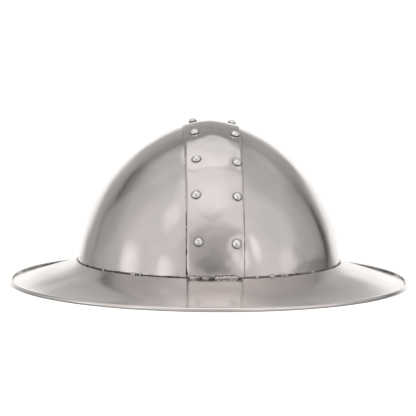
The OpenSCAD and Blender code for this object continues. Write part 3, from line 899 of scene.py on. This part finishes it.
def bead_size(place):
    """Radius of the bead in millimetres: mostly thin, with lumps, and built up to meet the band's feet."""
    middle = BAND_SHIFT + BAND_LEAN * place[..., 1]
    foot = clamp((BAND_HALF - np.abs(place[..., 0] - middle)) / (3 * MM))
    foot = foot * np.clip(1.1 + 0.9 * waves(place, 11 * MM, 57), 0, 2)
    run = 0.58 + 0.22 * waves(place, 60 * MM, 51) + 0.16 * waves(place, 16 * MM, 52)
    lumps = np.clip(waves(place, 9 * MM, 53) - 0.7, 0, 2) * 0.75 + 0.12 * waves(place, 3.2 * MM, 54)
    rough = np.clip(0.8 + 0.5 * waves(place, 2.4 * MM, 58), 0, 2) * (place[..., 1] < 0)
    for across, half, extra in RESTARTS:
        lumps = lumps + extra * rough * bell(place[..., 0] / MM - across, half)
    # It is thinner along the helmet's sides
    sides = clamp((np.abs(place[..., 0]) / MM - 85) / 20)
    return np.clip(run + lumps + 0.75 * foot, 0.3, 2.2) * (1 - 0.5 * sides)


def weld_bead():
    """The rounded bead in the corner between crown and brim, sunk a little into both."""
    turn = full_turn(BEAD_TURNS)[:, None]
    corner = oval_points(CROWN_A, turn, SEAM_Z)
    size = bead_size(corner)
    lean = np.linspace(BRIM_FALL, math.radians(92), BEAD_STEPS)[None, :]
    fine = 1 + 0.10 * waves(oval_points(CROWN_A, turn, SEAM_Z + 4 * MM * lean), 2.6 * MM, 55)
    reach = size * MM * fine
    back = oval_points(CROWN_A + reach * np.cos(lean), turn, SEAM_Z + reach * np.sin(lean))
    sunk = oval_points(CROWN_A - 0.4 * MM, turn, SEAM_Z - 0.4 * MM)
    points = np.concatenate([back, sunk], axis=1)
    obj = mesh_object("weld_bead", *tube(points, True))
    paint(obj, "proud", clamp((size - 0.7) / 1.1) * np.ones((1, BEAD_STEPS + 1)))
    return finish_piece(obj, WELD, "helmet", "weld_steel", "weld_seam")


def weld_spatter(seed=56, count=46):
    """Small drops of metal thrown on the crown and the brim beside the bead."""
    rng = np.random.default_rng(seed)
    parts = []
    for _ in range(count):
        turn, size = rng.uniform(0, 2 * math.pi), rng.uniform(0.2, 0.5) * MM
        out = abs(rng.normal(0, 1.3)) * MM
        if rng.random() < 0.5:
            h = 1.0 * MM + out
            place = oval_points(float(crown_radius(h)), turn, SEAM_Z + h)
        else:
            s = (1.0 * MM + out) / BRIM_WIDTH
            place = oval_points(CROWN_A + s * BRIM_WIDTH, turn, brim_z(s))
        below = [(size * 0.8, -0.4 * size), (0, -0.5 * size)]
        points, faces = lathe(dome_profile(size, 0.8 * size, 5) + below, 12)
        points *= 1 + 0.2 * waves(points, 1.5 * size, int(rng.integers(1000)))[:, None]
        parts.append((placed(points, place, (math.cos(turn) * 0.6, math.sin(turn) * 0.6, 0.5)), faces))
    points, faces = joined(parts)
    obj = mesh_object("weld_spatter", points, faces)
    paint(obj, "proud", np.full(len(points), 0.9))
    return finish_piece(obj, WELD, "helmet", "weld_steel")


weld_bead()
weld_spatter()


# ---- Stitches ----
STITCH_DIP = 0.30 * MM


def stitches(name, lines, body, length=3.2 * MM, thick=0.42 * MM):
    """Rows of stitches: each line is a list of (place, direction along, direction up)."""
    t = np.linspace(-1, 1, 7)
    turn = full_turn(8)
    width = thick * np.sqrt(np.maximum(1 - (t * 0.93) ** 4, 0.05))
    parts = []
    for line in lines:
        for place, along, up in line:
            along = unit(np.array(along))
            side = unit(np.cross(up, along))
            rise = np.cross(along, side)
            middle = np.array(place) + np.outer(t * length / 2, along) - np.outer(STITCH_DIP * t ** 2, rise)
            ring = np.cos(turn)[None, :, None] * side + np.sin(turn)[None, :, None] * rise
            parts.append(tube(middle[:, None] + width[:, None, None] * ring, False))
    points, faces = joined(parts)
    obj = mesh_object(name, points, faces)
    return finish_piece(obj, THREAD, body, "lace_thong")


# ---- Leather headband ----
HEADBAND_TURNS = 360


def headband_radius(h):
    return crown_radius(h) - PLATE_T - LINER_GAP


def headband():
    """The leather ring inside the crown."""
    turn = full_turn(HEADBAND_TURNS)[None, :]
    h = np.linspace(HEADBAND_LOW, HEADBAND_TOP, 26)[:, None]
    # A pressed line runs near each edge, and the edges are rounded over
    from_edge = np.minimum(h - HEADBAND_LOW, HEADBAND_TOP - h)
    line = 0.22 * MM * bell(from_edge - 3 * MM, 0.8 * MM)
    thin = 0.9 * MM * clamp(1 - from_edge / (1.6 * MM)) ** 2
    places = oval_points(headband_radius(h), turn, SEAM_Z + h)
    wave = uneven(places, (0.16, 60, 61))
    outer = oval_points(headband_radius(h) + wave - line - thin, turn, SEAM_Z + h)
    inner = oval_points(headband_radius(h) - HEADBAND_T + wave + line + thin, turn, SEAM_Z + h)
    points, faces = shell(outer, inner, True)
    obj = mesh_object("headband_leather", points, faces)
    paint_edge(obj, clamp(1 - from_edge / (1.4 * MM)) * np.ones_like(turn))
    finish_piece(obj, HEADBAND_LEATHER, "helmet", "headband_leather", "liner_headband")


headband()

# ---- Leaves of the liner ----
LEAF_COUNT = 8
LEAF_TURN = 40
LEAF_T = 1.8 * MM
LEAF_SEWN = 10 * MM
LEAF_TIP_R = 20 * MM
LEAF_TOP = 89 * MM
LEAF_SHOULDER = np.array([32 * MM, 3 * MM])
SEWN_CLEAR = 0.05 * MM
LACE_R = 27 * MM
LACE_SWING = 3.6 * MM
LACE_Z = LEAF_TOP - LEAF_T / 2 - 0.15 * MM
LACE_HOLE_R = 2.7 * MM


def leaf_path(steps=30):
    """(r, h) along a leaf's outer face from its sewn edge to its tip, and the way into the head at each."""
    h_root = HEADBAND_TOP - LEAF_SEWN
    root = np.array([headband_radius(h_root) - HEADBAND_T - SEWN_CLEAR, h_root])
    foot = np.array([headband_radius(HEADBAND_TOP) - HEADBAND_T - SEWN_CLEAR, HEADBAND_TOP])
    tip = np.array([LEAF_TIP_R, LEAF_TOP])
    bends = [foot, foot + 2 * (foot - root), tip + LEAF_SHOULDER * [1, -1], tip]
    t = np.linspace(0, 1, steps)[:, None]
    shares = [(1 - t) ** 3, 3 * (1 - t) ** 2 * t, 3 * (1 - t) * t * t, t ** 3]
    curve = sum(share * bend for share, bend in zip(shares, bends))
    sewn = root + (foot - root) * np.linspace(0, 1, 6)[:-1, None]
    path = np.concatenate([sewn, curve])
    return path, left_of(path)


def leaf(number):
    """One leather leaf, from its sewn foot on the headband to its tip, with two holes for the lace."""
    path, inward = leaf_path()
    middle = 360 / LEAF_COUNT * (number - 0.5)
    across = np.linspace(-1, 1, 17)[None, :]
    t = np.linspace(0, 1, len(path))[:, None]
    # The leaf narrows a little over its middle, its tip is round, and its edges are skived thin
    half = math.radians(LEAF_TURN / 2) * (1 - 0.07 * np.sin(math.pi * t))
    turn = np.radians(middle) + half * across
    r, h = path[:, 0:1], path[:, 1:2]
    pulled = 1.6 * MM * clamp((t - 0.9) / 0.1) ** 2 * across ** 4
    sag = 0.9 * MM * np.sin(math.pi * t) * (1 - across ** 2) * clamp((t - 0.2) / 0.3)
    skive = 0.45 * MM * np.abs(across) ** 8
    nr, nh = inward[:, 0:1], inward[:, 1:2]
    base = oval_points(r, turn, SEAM_Z + h)
    wrinkle = uneven(base, (0.22, 34, 70 + number)) * clamp((t - 0.22) / 0.2)
    wrinkle = np.abs(wrinkle * clamp((1 - t) / 0.2))
    sag = sag * clamp((1 - t) / 0.25)
    faces_in = (wrinkle - sag + skive * 0.5, LEAF_T + wrinkle - sag - skive)
    outer, inner = (oval_points(r + pulled + nr * i, turn, SEAM_Z + h + nh * i) for i in faces_in)
    points, faces = shell(outer, inner)
    obj = mesh_object(f"leaf_leather_{number}", points, faces)
    sides = clamp((np.abs(across) - 0.9) / 0.1)
    paint_edge(obj, np.maximum(sides, clamp((t - 0.975) / 0.025)))
    cutters = []
    above = LEAF_TOP + 30 * MM
    for side in (-0.5, 0.5):
        hole = math.radians(middle + side * 360 / (2 * LEAF_COUNT))
        profile = [(0, above), (LACE_HOLE_R, above), (LACE_HOLE_R, LEAF_TOP), (0, LEAF_TOP)]
        cut_points, cut_faces = lathe(profile, 28)
        cut_points += oval_points(LACE_R, hole, 0.0)
        cutters.append(mesh_object("cutter", cut_points, cut_faces))
    cut(obj, cutters)
    round_edges(obj, 0.28 * MM)
    finish_piece(obj, LEAF_LEATHER, "helmet", "leaf_leather", f"liner_leaf_{number}")


def leaf_stitches():
    """Two rows along each leaf's foot, on the side of the head."""
    lines = []
    for number in range(1, LEAF_COUNT + 1):
        middle = 360 / LEAF_COUNT * (number - 0.5)
        for h in (HEADBAND_TOP - 3 * MM, HEADBAND_TOP - 7 * MM):
            line = []
            for step in np.linspace(-17.5, 17.5, 13):
                turn = math.radians(middle + step)
                r = headband_radius(h) - HEADBAND_T - SEWN_CLEAR - LEAF_T
                place = oval_points(float(r), turn, SEAM_Z + h)
                along = np.array([-math.sin(turn), OVAL * math.cos(turn), 0])
                line.append((place, along, (-math.cos(turn), -math.sin(turn), 0)))
            lines.append(line)
    stitches("leaf_stitching", lines, "helmet")


for leaf_number in range(1, LEAF_COUNT + 1):
    leaf(leaf_number)
leaf_stitches()


# ---- Lace through the leaf tips: a square-cut thong, twisted as it goes ----
LACE_HALF = 1.2 * MM
LACE_TWISTS = 8
LACE_STEPS = 320


def lace():
    """The lace, which swings in and out of the leaves through their holes."""
    turn = full_turn(LACE_STEPS)
    path = oval_points(LACE_R, turn, SEAM_Z + LACE_Z + LACE_SWING * np.cos(LEAF_COUNT * turn))
    along = along_ring(path)
    side = unit(np.cross(along, [0, 0, 1]))
    up = np.cross(side, along)
    around = full_turn(12)[None, :]
    twist = LACE_TWISTS * turn[:, None]
    size = (LACE_HALF * (1 - 0.16 * np.cos(4 * around - twist) ** 2))[..., None]
    ring = size * (np.cos(around)[..., None] * side[:, None] + np.sin(around)[..., None] * up[:, None])
    obj = mesh_object("lace_thong", *tube(path[:, None] + ring, True))
    paint(obj, "edge", np.zeros(len(obj.data.vertices)))
    finish_piece(obj, THONG, "helmet", "lace_thong", "liner_lace")


lace()

# ---- Chin strap ----
STRAP_HALF = 9 * MM
STRAP_T = 2.2 * MM
STRAP_SKEW = math.radians(10)
LOOP_WIRE_R = 1.4 * MM
BUCKLE_WIRE_R = 1.6 * MM
WRAP_GAP = 0.07 * MM
# Distance from a bar at which the two layers meet
WRAP_L = 8.5 * MM
# Distance of each layer's middle from the plane between the two
LAYER_Z = STRAP_T / 2 + 0.03 * MM
FOLD_L = 30 * MM
BUCKLE_L = 105 * MM
TONGUE_L = 215 * MM
TONGUE_TIP_Z = 0.4 * MM
BUCKLE_Z = 4.4 * MM
HOLE_R = 1.8 * MM
HOLE_PITCH = 14 * MM
HOLE_TO_TIP = 30 * MM
HOLE_COUNT = 6
PROFILE_CORNER = 0.75 * MM
# How far in from the strap's edge the pressed line and the stitches run
LINE_IN = 2.1 * MM
CUT_DEEP = 12 * MM
SLOT_HALF = 2.9 * MM
SLOT_L = 9 * MM


def strap_matrix(name, fall, length):
    """Frame of a strap half: its origin on the loop's lower bar, +X along the strap, +Z up."""
    bar = Vector(JOINTS[f"strap_{name}_swing"]["pos_m"])
    tilt = math.asin((bar.z - fall) / length)
    turn = math.pi if name == "left" else 0
    return Matrix.Translation(bar) @ Matrix.Rotation(turn, 4, "Z") @ Matrix.Rotation(tilt, 4, "Y")


STRAP_FRAMES = {
    "left": strap_matrix("left", BUCKLE_Z, BUCKLE_L),
    "right": strap_matrix("right", TONGUE_TIP_Z, TONGUE_L),
}


def in_strap(name, points):
    """Points of a strap half's own frame, in the helmet's."""
    matrix = np.array(STRAP_FRAMES[name])
    return points @ matrix[:3, :3].T + matrix[:3, 3]


def skewed(along, across, up, root):
    """Points of the slanted strap, which lies square to the loop's bar where root is 1."""
    turn = STRAP_SKEW * (1 - root)
    x = along * math.cos(STRAP_SKEW) + across * np.sin(turn)
    y = -along * math.sin(STRAP_SKEW) + across * np.cos(turn)
    return np.stack(np.broadcast_arrays(x, y, up), -1)


def wrap_curve(wire_r, steps=13):
    """(x, z) of the leather's middle round a bar on the origin, from the lower layer to the upper one."""
    radius = wire_r + WRAP_GAP + STRAP_T / 2
    a = np.radians(np.linspace(-75, -285, steps))
    arc = np.stack([radius * np.cos(a), radius * np.sin(a)], -1)
    arc[:, 0] = np.minimum(arc[:, 0], radius)
    ease = np.linspace(0, 1, 7)[1:-1, None]
    share = np.concatenate([ease, 3 * ease ** 2 - 2 * ease ** 3], 1)
    start, end = np.array([WRAP_L, -LAYER_Z]), np.array([WRAP_L, LAYER_Z])
    into = start + (arc[0] - start) * share
    out = arc[-1] + (end - arc[-1]) * share
    return np.concatenate([start[None], into, arc, out, end[None]])


def straight(x0, x1, z, pitch=1.6 * MM):
    count = max(2, int(abs(x1 - x0) / pitch))
    x = np.linspace(x0, x1, count + 1)
    return np.stack([x, np.full_like(x, z)], -1)


def strap_section():
    """(across, up) round the leather's section, with rounded corners and pressed lines."""
    half_t = STRAP_T / 2
    flat = np.linspace(-(STRAP_HALF - PROFILE_CORNER), STRAP_HALF - PROFILE_CORNER, 25)
    line = 0.18 * MM * bell(STRAP_HALF - np.abs(flat) - LINE_IN, 0.5 * MM)
    corner = np.radians(np.linspace(90, -90, 9))[1:-1]
    side = STRAP_HALF - PROFILE_CORNER + PROFILE_CORNER * np.cos(corner)
    right = np.stack([side, half_t * np.sin(corner)], -1)
    top = np.stack([flat, half_t - line], -1)
    bottom = np.stack([flat[::-1], line[::-1] - half_t], -1)
    return np.concatenate([top, right, bottom, right[::-1] * [-1, 1]])


def strap_mesh(name, path, round_tip):
    """The leather strip along (x, z) points, rounded at its end if it is the tongue."""
    section = strap_section()
    lift = left_of(path)
    width = np.ones(len(path))
    if round_tip:
        past = np.clip(path[:, 0] - (TONGUE_L - STRAP_HALF), 0, STRAP_HALF)
        width = np.sqrt(np.maximum(1 - (past / STRAP_HALF) ** 2, 0.02))
    root = clamp(1 - (path[:, 0] - 3 * MM) / (9 * MM))[:, None]
    x = path[:, 0:1] + lift[:, 0:1] * section[None, :, 1]
    z = path[:, 1:2] + lift[:, 1:2] * section[None, :, 1]
    across = width[:, None] * section[None, :, 0]
    points = in_strap(name, skewed(x, across, z, root))
    obj = mesh_object(f"strap_leather_{name}", *tube(points, False))
    edge = clamp((np.abs(section[None, :, 0]) / STRAP_HALF - 0.93) / 0.05) + 0 * root
    paint(obj, "edge", edge)
    return obj


def hole_cutter(name, x, radius):
    """A pin through the strap's middle, at x along it."""
    points, faces = lathe([(0, CUT_DEEP), (radius, CUT_DEEP), (radius, -CUT_DEEP), (0, -CUT_DEEP)], 24)
    points = points + skewed(x, 0.0, 0.0, 0.0)
    return mesh_object("cutter", in_strap(name, points), faces)


def slot_cutter():
    """The slot that the buckle's prong turns in, open at the buckle and round at its other end."""
    start, end = BUCKLE_L - SLOT_L + SLOT_HALF, BUCKLE_L + 10 * MM
    turn = np.radians(np.linspace(90, 270, 13))
    outline = [(start + SLOT_HALF * math.cos(a), SLOT_HALF * math.sin(a)) for a in turn]
    outline += [(end, -SLOT_HALF), (end, SLOT_HALF)]
    rings = np.array([[[x, y, z] for x, y in outline] for z in (-CUT_DEEP, CUT_DEEP)])
    points, faces = tube(rings, False)
    points = skewed(points[:, 0], points[:, 1], points[:, 2], 0.0)
    return mesh_object("cutter", in_strap("left", points), faces)


def strap_path(*rest):
    """The leather's middle: under the fold, round the loop's bar, along the top, and then the rest."""
    root = wrap_curve(LOOP_WIRE_R)
    start_x, end_x = root[-1, 0], rest[0][0, 0]
    under = straight(FOLD_L, start_x, -LAYER_Z)[:-1]
    top = straight(start_x, end_x, LAYER_Z)[1:-1]
    return np.concatenate([under, root, top, *rest])


def strap_left():
    """The half with the buckle, folded round the loop's bar and the buckle's."""
    end = wrap_curve(BUCKLE_WIRE_R)[::-1]
    end = np.stack([BUCKLE_L - end[:, 0], end[:, 1]], -1)
    path = strap_path(end, straight(end[0, 0], BUCKLE_L - FOLD_L, -LAYER_Z)[1:])
    obj = strap_mesh("left", path, False)
    cut(obj, [slot_cutter()])
    finish_piece(obj, STRAP_LEATHER, "strap_half_left", "strap_leather", "strap_left")


def strap_right():
    """The half with the holes, folded round the loop's bar and round at its tip."""
    tip = TONGUE_L - STRAP_HALF * (1 - np.sin(np.radians(np.linspace(0, 88, 12))))
    path = strap_path(np.stack([tip, np.full_like(tip, LAYER_Z)], -1))
    obj = strap_mesh("right", path, True)
    places = [TONGUE_L - HOLE_TO_TIP - i * HOLE_PITCH for i in range(HOLE_COUNT)]
    cut(obj, [hole_cutter("right", place, HOLE_R) for place in places])
    finish_piece(obj, STRAP_LEATHER, "strap_half_right", "strap_leather", "strap_right")


def strap_stitches(name, length, body):
    matrix = np.array(STRAP_FRAMES[name])[:3, :3]
    up = matrix @ np.array([0, 0, 1])
    along = matrix @ skewed(1.0, 0.0, 0.0, 0.0)
    lines = []
    for side in (-1, 1):
        x = np.arange(14 * MM, length, 4.4 * MM)
        places = in_strap(name, skewed(x, side * (STRAP_HALF - LINE_IN), STRAP_T + 0.05 * MM, 0.0))
        lines.append([(place, along, up) for place in places])
    stitches(f"strap_stitching_{name}", lines, body, 3.0 * MM, 0.38 * MM)


strap_left()
strap_right()
strap_stitches("left", BUCKLE_L - 10 * MM, "strap_half_left")
strap_stitches("right", TONGUE_L - 12 * MM, "strap_half_right")

# ---- Strap keeper ----
KEEPER_X = BUCKLE_L - FOLD_L - 13 * MM
KEEPER_L = 9 * MM
KEEPER_T = 1.6 * MM
KEEPER_SLACK = 0.5 * MM


def keeper():
    """A leather ring round both layers, with rounded corners."""
    half_w = STRAP_HALF + KEEPER_SLACK + KEEPER_T / 2
    low = -KEEPER_SLACK - KEEPER_T / 2
    high = 2 * STRAP_T + KEEPER_SLACK + KEEPER_T / 2
    bend = 1.5 * MM
    right, top, foot = half_w - bend, high - bend, low + bend
    outline = []
    for y, z, start in [(right, top, 0), (-right, top, 90), (-right, foot, 180), (right, foot, 270)]:
        for a in np.radians(np.linspace(start, start + 90, 9)):
            outline.append((y + bend * math.cos(a), z + bend * math.sin(a)))
    outline = np.array(outline)
    along = along_ring(outline)
    out = np.stack([along[:, 1], -along[:, 0]], -1)
    turn = np.radians(np.linspace(0, 360, 28, endpoint=False))
    c, s = np.cos(turn), np.sin(turn)
    across = np.abs(c) ** 0.35 * np.sign(c) * KEEPER_L / 2
    thick = np.abs(s) ** 0.6 * np.sign(s) * KEEPER_T / 2
    y = outline[:, 0:1] + out[:, 0:1] * thick[None, :]
    z = outline[:, 1:2] + out[:, 1:2] * thick[None, :]
    x = KEEPER_X + KEEPER_L / 2 + across[None, :] + 0 * y
    points = in_strap("left", skewed(x, y, z, 0.0))
    obj = mesh_object("keeper_leather", *tube(points, True))
    edge = clamp((np.abs(across)[None, :] / (KEEPER_L / 2) - 0.9) / 0.08) + 0 * y
    paint(obj, "edge", edge)
    finish_piece(obj, STRAP_LEATHER, "keeper", "strap_leather", "strap_keeper")


keeper()

# ---- CAD nodes whose shape is right: their materials ----
CAD_MATERIALS = {
    "rim_wire": PLAIN,
    "liner_tabs": PLAIN,
    "liner_rivets": BRASS,
    "strap_lug_left": PLAIN,
    "strap_lug_right": PLAIN,
    "wire_loop_left": PLAIN,
    "wire_loop_right": PLAIN,
    "strap_rivets_left": BRASS,
    "strap_rivets_right": BRASS,
    "buckle_frame": BRASS,
    "buckle_prong": BRASS,
}
for node_name, node_material in CAD_MATERIALS.items():
    for material_slot in frame["nodes"][node_name].material_slots:
        material_slot.material = node_material
for plate_name in ("liner_tabs", "strap_lug_left", "strap_lug_right"):
    round_edges(frame["nodes"][plate_name], 0.25 * MM)


# ---- Studio ----
FLOOR_HALF = 15.0
FLOOR_WHITE = grey(0.72)
FLOOR_GLOW = 0.70
# The light that the floor throws back up into the helmet
FLOOR_RETURN = 0.55


def studio_floor():
    """A plain white floor, clear from below.

    The steel doesn't mirror it: the world below the horizon stands for it there."""
    corners = [(-1, -1), (1, -1), (1, 1), (-1, 1)]
    points = [(x * FLOOR_HALF, y * FLOOR_HALF, 0) for x, y in corners]
    obj = mesh_object("floor", points, [[0, 1, 2, 3]])
    material = bpy.data.materials.new("floor_white")
    n = Nodes(material, empty=True)
    glow = n.node("ShaderNodeEmission", {"Strength": FLOOR_GLOW}).outputs[0]
    white = n.node("ShaderNodeBsdfDiffuse", {"Color": FLOOR_WHITE}).outputs[0]
    seen = n.node("ShaderNodeAddShader", {0: glow, 1: white}).outputs[0]
    returned = n.node("ShaderNodeEmission", {"Strength": FLOOR_RETURN}).outputs[0]
    camera_ray = n.node("ShaderNodeLightPath").outputs["Is Camera Ray"]
    above = n.node("ShaderNodeMixShader", {0: camera_ray, 1: returned, 2: seen}).outputs[0]
    below = n.node("ShaderNodeNewGeometry").outputs["Backfacing"]
    clear = n.node("ShaderNodeBsdfTransparent").outputs[0]
    surface = n.node("ShaderNodeMixShader", {0: below, 1: above, 2: clear}).outputs[0]
    n.node("ShaderNodeOutputMaterial", {"Surface": surface})
    obj.data.materials.append(material)
    obj.visible_glossy = False


# Light by the angle from straight behind the helmet: the grey wall, its dark edge, then the room
SWEEP = [
    (0, 0.50), (30, 0.50), (36, 0.46), (42, 0.41), (48, 0.34), (53, 0.32), (57, 0.44), (64, 0.52),
    (80, 0.60), (100, 0.76), (130, 0.80), (150, 0.68), (165, 0.52), (180, 0.42),
]
# Soft boxes (more light) and flags (less) as seen from the helmet: azimuth from straight behind towards +X,
# elevation, inner and outer radius in degrees, flatness (above 1 is wide, below 1 is tall), and added light
SOFT_BOXES = [
    (4, 1, 19, 42, 2.5, 0.64),
    (5, 32, 3, 12, 1.0, -0.06),
    (40, 38, 4, 16, 1.0, 0.10),
    (-52, 57, 5, 20, 1.0, 0.09),
    (-50, 8, 4, 12, 0.6, 0.08),
    (85, -8, 14, 42, 3.0, -0.17),
    (36, 6, 2, 9, 0.6, 0.10),
    (5, 70, 16, 19, 1.0, 0.40),
    (-165, 72, 8, 30, 1.0, 0.18),
    (172, 84, 4, 30, 1.0, 0.07),
    (-48, 32, 3, 11, 1.0, -0.12),
    (50, 8, 2, 7, 0.4, -0.10),
    (68, 8, 12, 36, 1.0, -0.11),
    (97, 5, 3, 11, 0.7, -0.13),
    (19, 16, 3, 10, 1.0, 0.13),
    (-60, 18, 6, 20, 1.0, -0.08),
    (-98, 4, 2, 12, 0.6, 0.36),
    (-135, 2, 2, 9, 0.5, 0.34),
    (-126, 46, 2, 12, 0.8, 0.24),
    (136, 24, 1, 7, 0.4, 0.30),
    (106, 6, 2, 8, 0.5, 0.14),
    (157, 15, 5, 13, 0.6, 0.42),
    (180, 24, 10, 36, 1.0, -0.20),
    (0, -90, 45, 80, 1.0, -0.30),
]
BACK_TINT = (1.0, 0.993, 0.968)
FRONT_TINT = (1.03, 0.99, 0.975)


def direction(azimuth, elevation):
    """The direction at an azimuth from straight behind towards +X, and an elevation."""
    a, e = math.radians(azimuth), math.radians(elevation)
    return (math.sin(a) * math.cos(e), math.cos(a) * math.cos(e), math.sin(e))


class Studio(Nodes):
    """The world around the helmet, whose light depends on the direction alone."""

    def __init__(self, world):
        super().__init__(world, empty=True)
        self.look = self.node("ShaderNodeTexCoord").outputs["Generated"]

    def dot(self, aim, flatness=1.0):
        """Cosine of the angle from the aim, in a world stretched upward by the flatness."""
        look = self.vector("MULTIPLY", self.look, (1, 1, flatness)).outputs[0]
        look = self.vector("NORMALIZE", look).outputs[0]
        aim = Vector((aim[0], aim[1], aim[2] * flatness)).normalized()
        return self.vector("DOT_PRODUCT", look, aim).outputs["Value"]

    def sweep(self):
        """The light by the angle from straight behind."""
        share = self.math("DIVIDE", self.math("ARCCOSINE", self.dot(direction(0, 0))), math.pi)
        brightest = max(light for _, light in SWEEP)
        stops = [(degrees / 180, light / brightest) for degrees, light in SWEEP]
        return self.math("MULTIPLY", self.ramp(share, stops, True), brightest)

    def soft_box(self, azimuth, elevation, inner, outer, flatness, gain):
        """The light that one soft box adds: all of it within the inner radius, and none past the outer."""
        reach = {
            "Value": self.dot(direction(azimuth, elevation), flatness),
            "From Min": math.cos(math.radians(outer)),
            "From Max": math.cos(math.radians(inner)),
            "To Min": 0,
            "To Max": gain,
        }
        return self.node("ShaderNodeMapRange", reach, interpolation_type="SMOOTHSTEP").outputs[0]


def studio_light():
    """Soft light all round, made in the world: it is white to the camera and a studio to the steel."""
    world = bpy.data.worlds.new("studio")
    bpy.context.scene.world = world
    n = Studio(world)
    light = n.sweep()
    for box in SOFT_BOXES:
        light = n.math("ADD", light, n.soft_box(*box))
    behind = n.node("ShaderNodeMapRange", {"Value": n.dot((0, 1, 0)), "From Min": -1}).outputs[0]
    tint = n.mix(behind, FRONT_TINT, BACK_TINT)
    room = n.node("ShaderNodeBackground", {"Color": tint, "Strength": light}).outputs[0]
    white = n.node("ShaderNodeBackground", {"Color": grey(1)}).outputs[0]
    camera_ray = n.node("ShaderNodeLightPath").outputs["Is Camera Ray"]
    surface = n.node("ShaderNodeMixShader", {0: camera_ray, 1: room, 2: white}).outputs[0]
    n.node("ShaderNodeOutputWorld", {"Surface": surface})


CAMERA_AIM = Vector((-1.1, 0, 66.1)) * MM
CAMERA_DISTANCE = 4.0
CAMERA_AZIMUTH = -3.0
CAMERA_ELEVATION = 6.6
CAMERA_ROLL = 0.46
# Width of the view at the helmet
VIEW_WIDTH = 0.3636
SENSOR = 36.0


def studio_camera():
    data = bpy.data.cameras.new("camera")
    data.sensor_width = SENSOR
    data.lens = SENSOR * CAMERA_DISTANCE / VIEW_WIDTH
    camera = bpy.data.objects.new("camera", data)
    bpy.context.scene.collection.objects.link(camera)
    a, e = math.radians(CAMERA_AZIMUTH), math.radians(CAMERA_ELEVATION)
    away = Vector((math.sin(a) * math.cos(e), -math.cos(a) * math.cos(e), math.sin(e)))
    turn = (-away).to_track_quat("-Z", "Y").to_matrix().to_4x4()
    roll = Matrix.Rotation(math.radians(CAMERA_ROLL), 4, "Z")
    camera.matrix_world = Matrix.Translation(CAMERA_AIM + away * CAMERA_DISTANCE) @ turn @ roll
    bpy.context.scene.camera = camera


studio_floor()
studio_light()
studio_camera()
bpy.context.scene.view_settings.view_transform = "Standard"
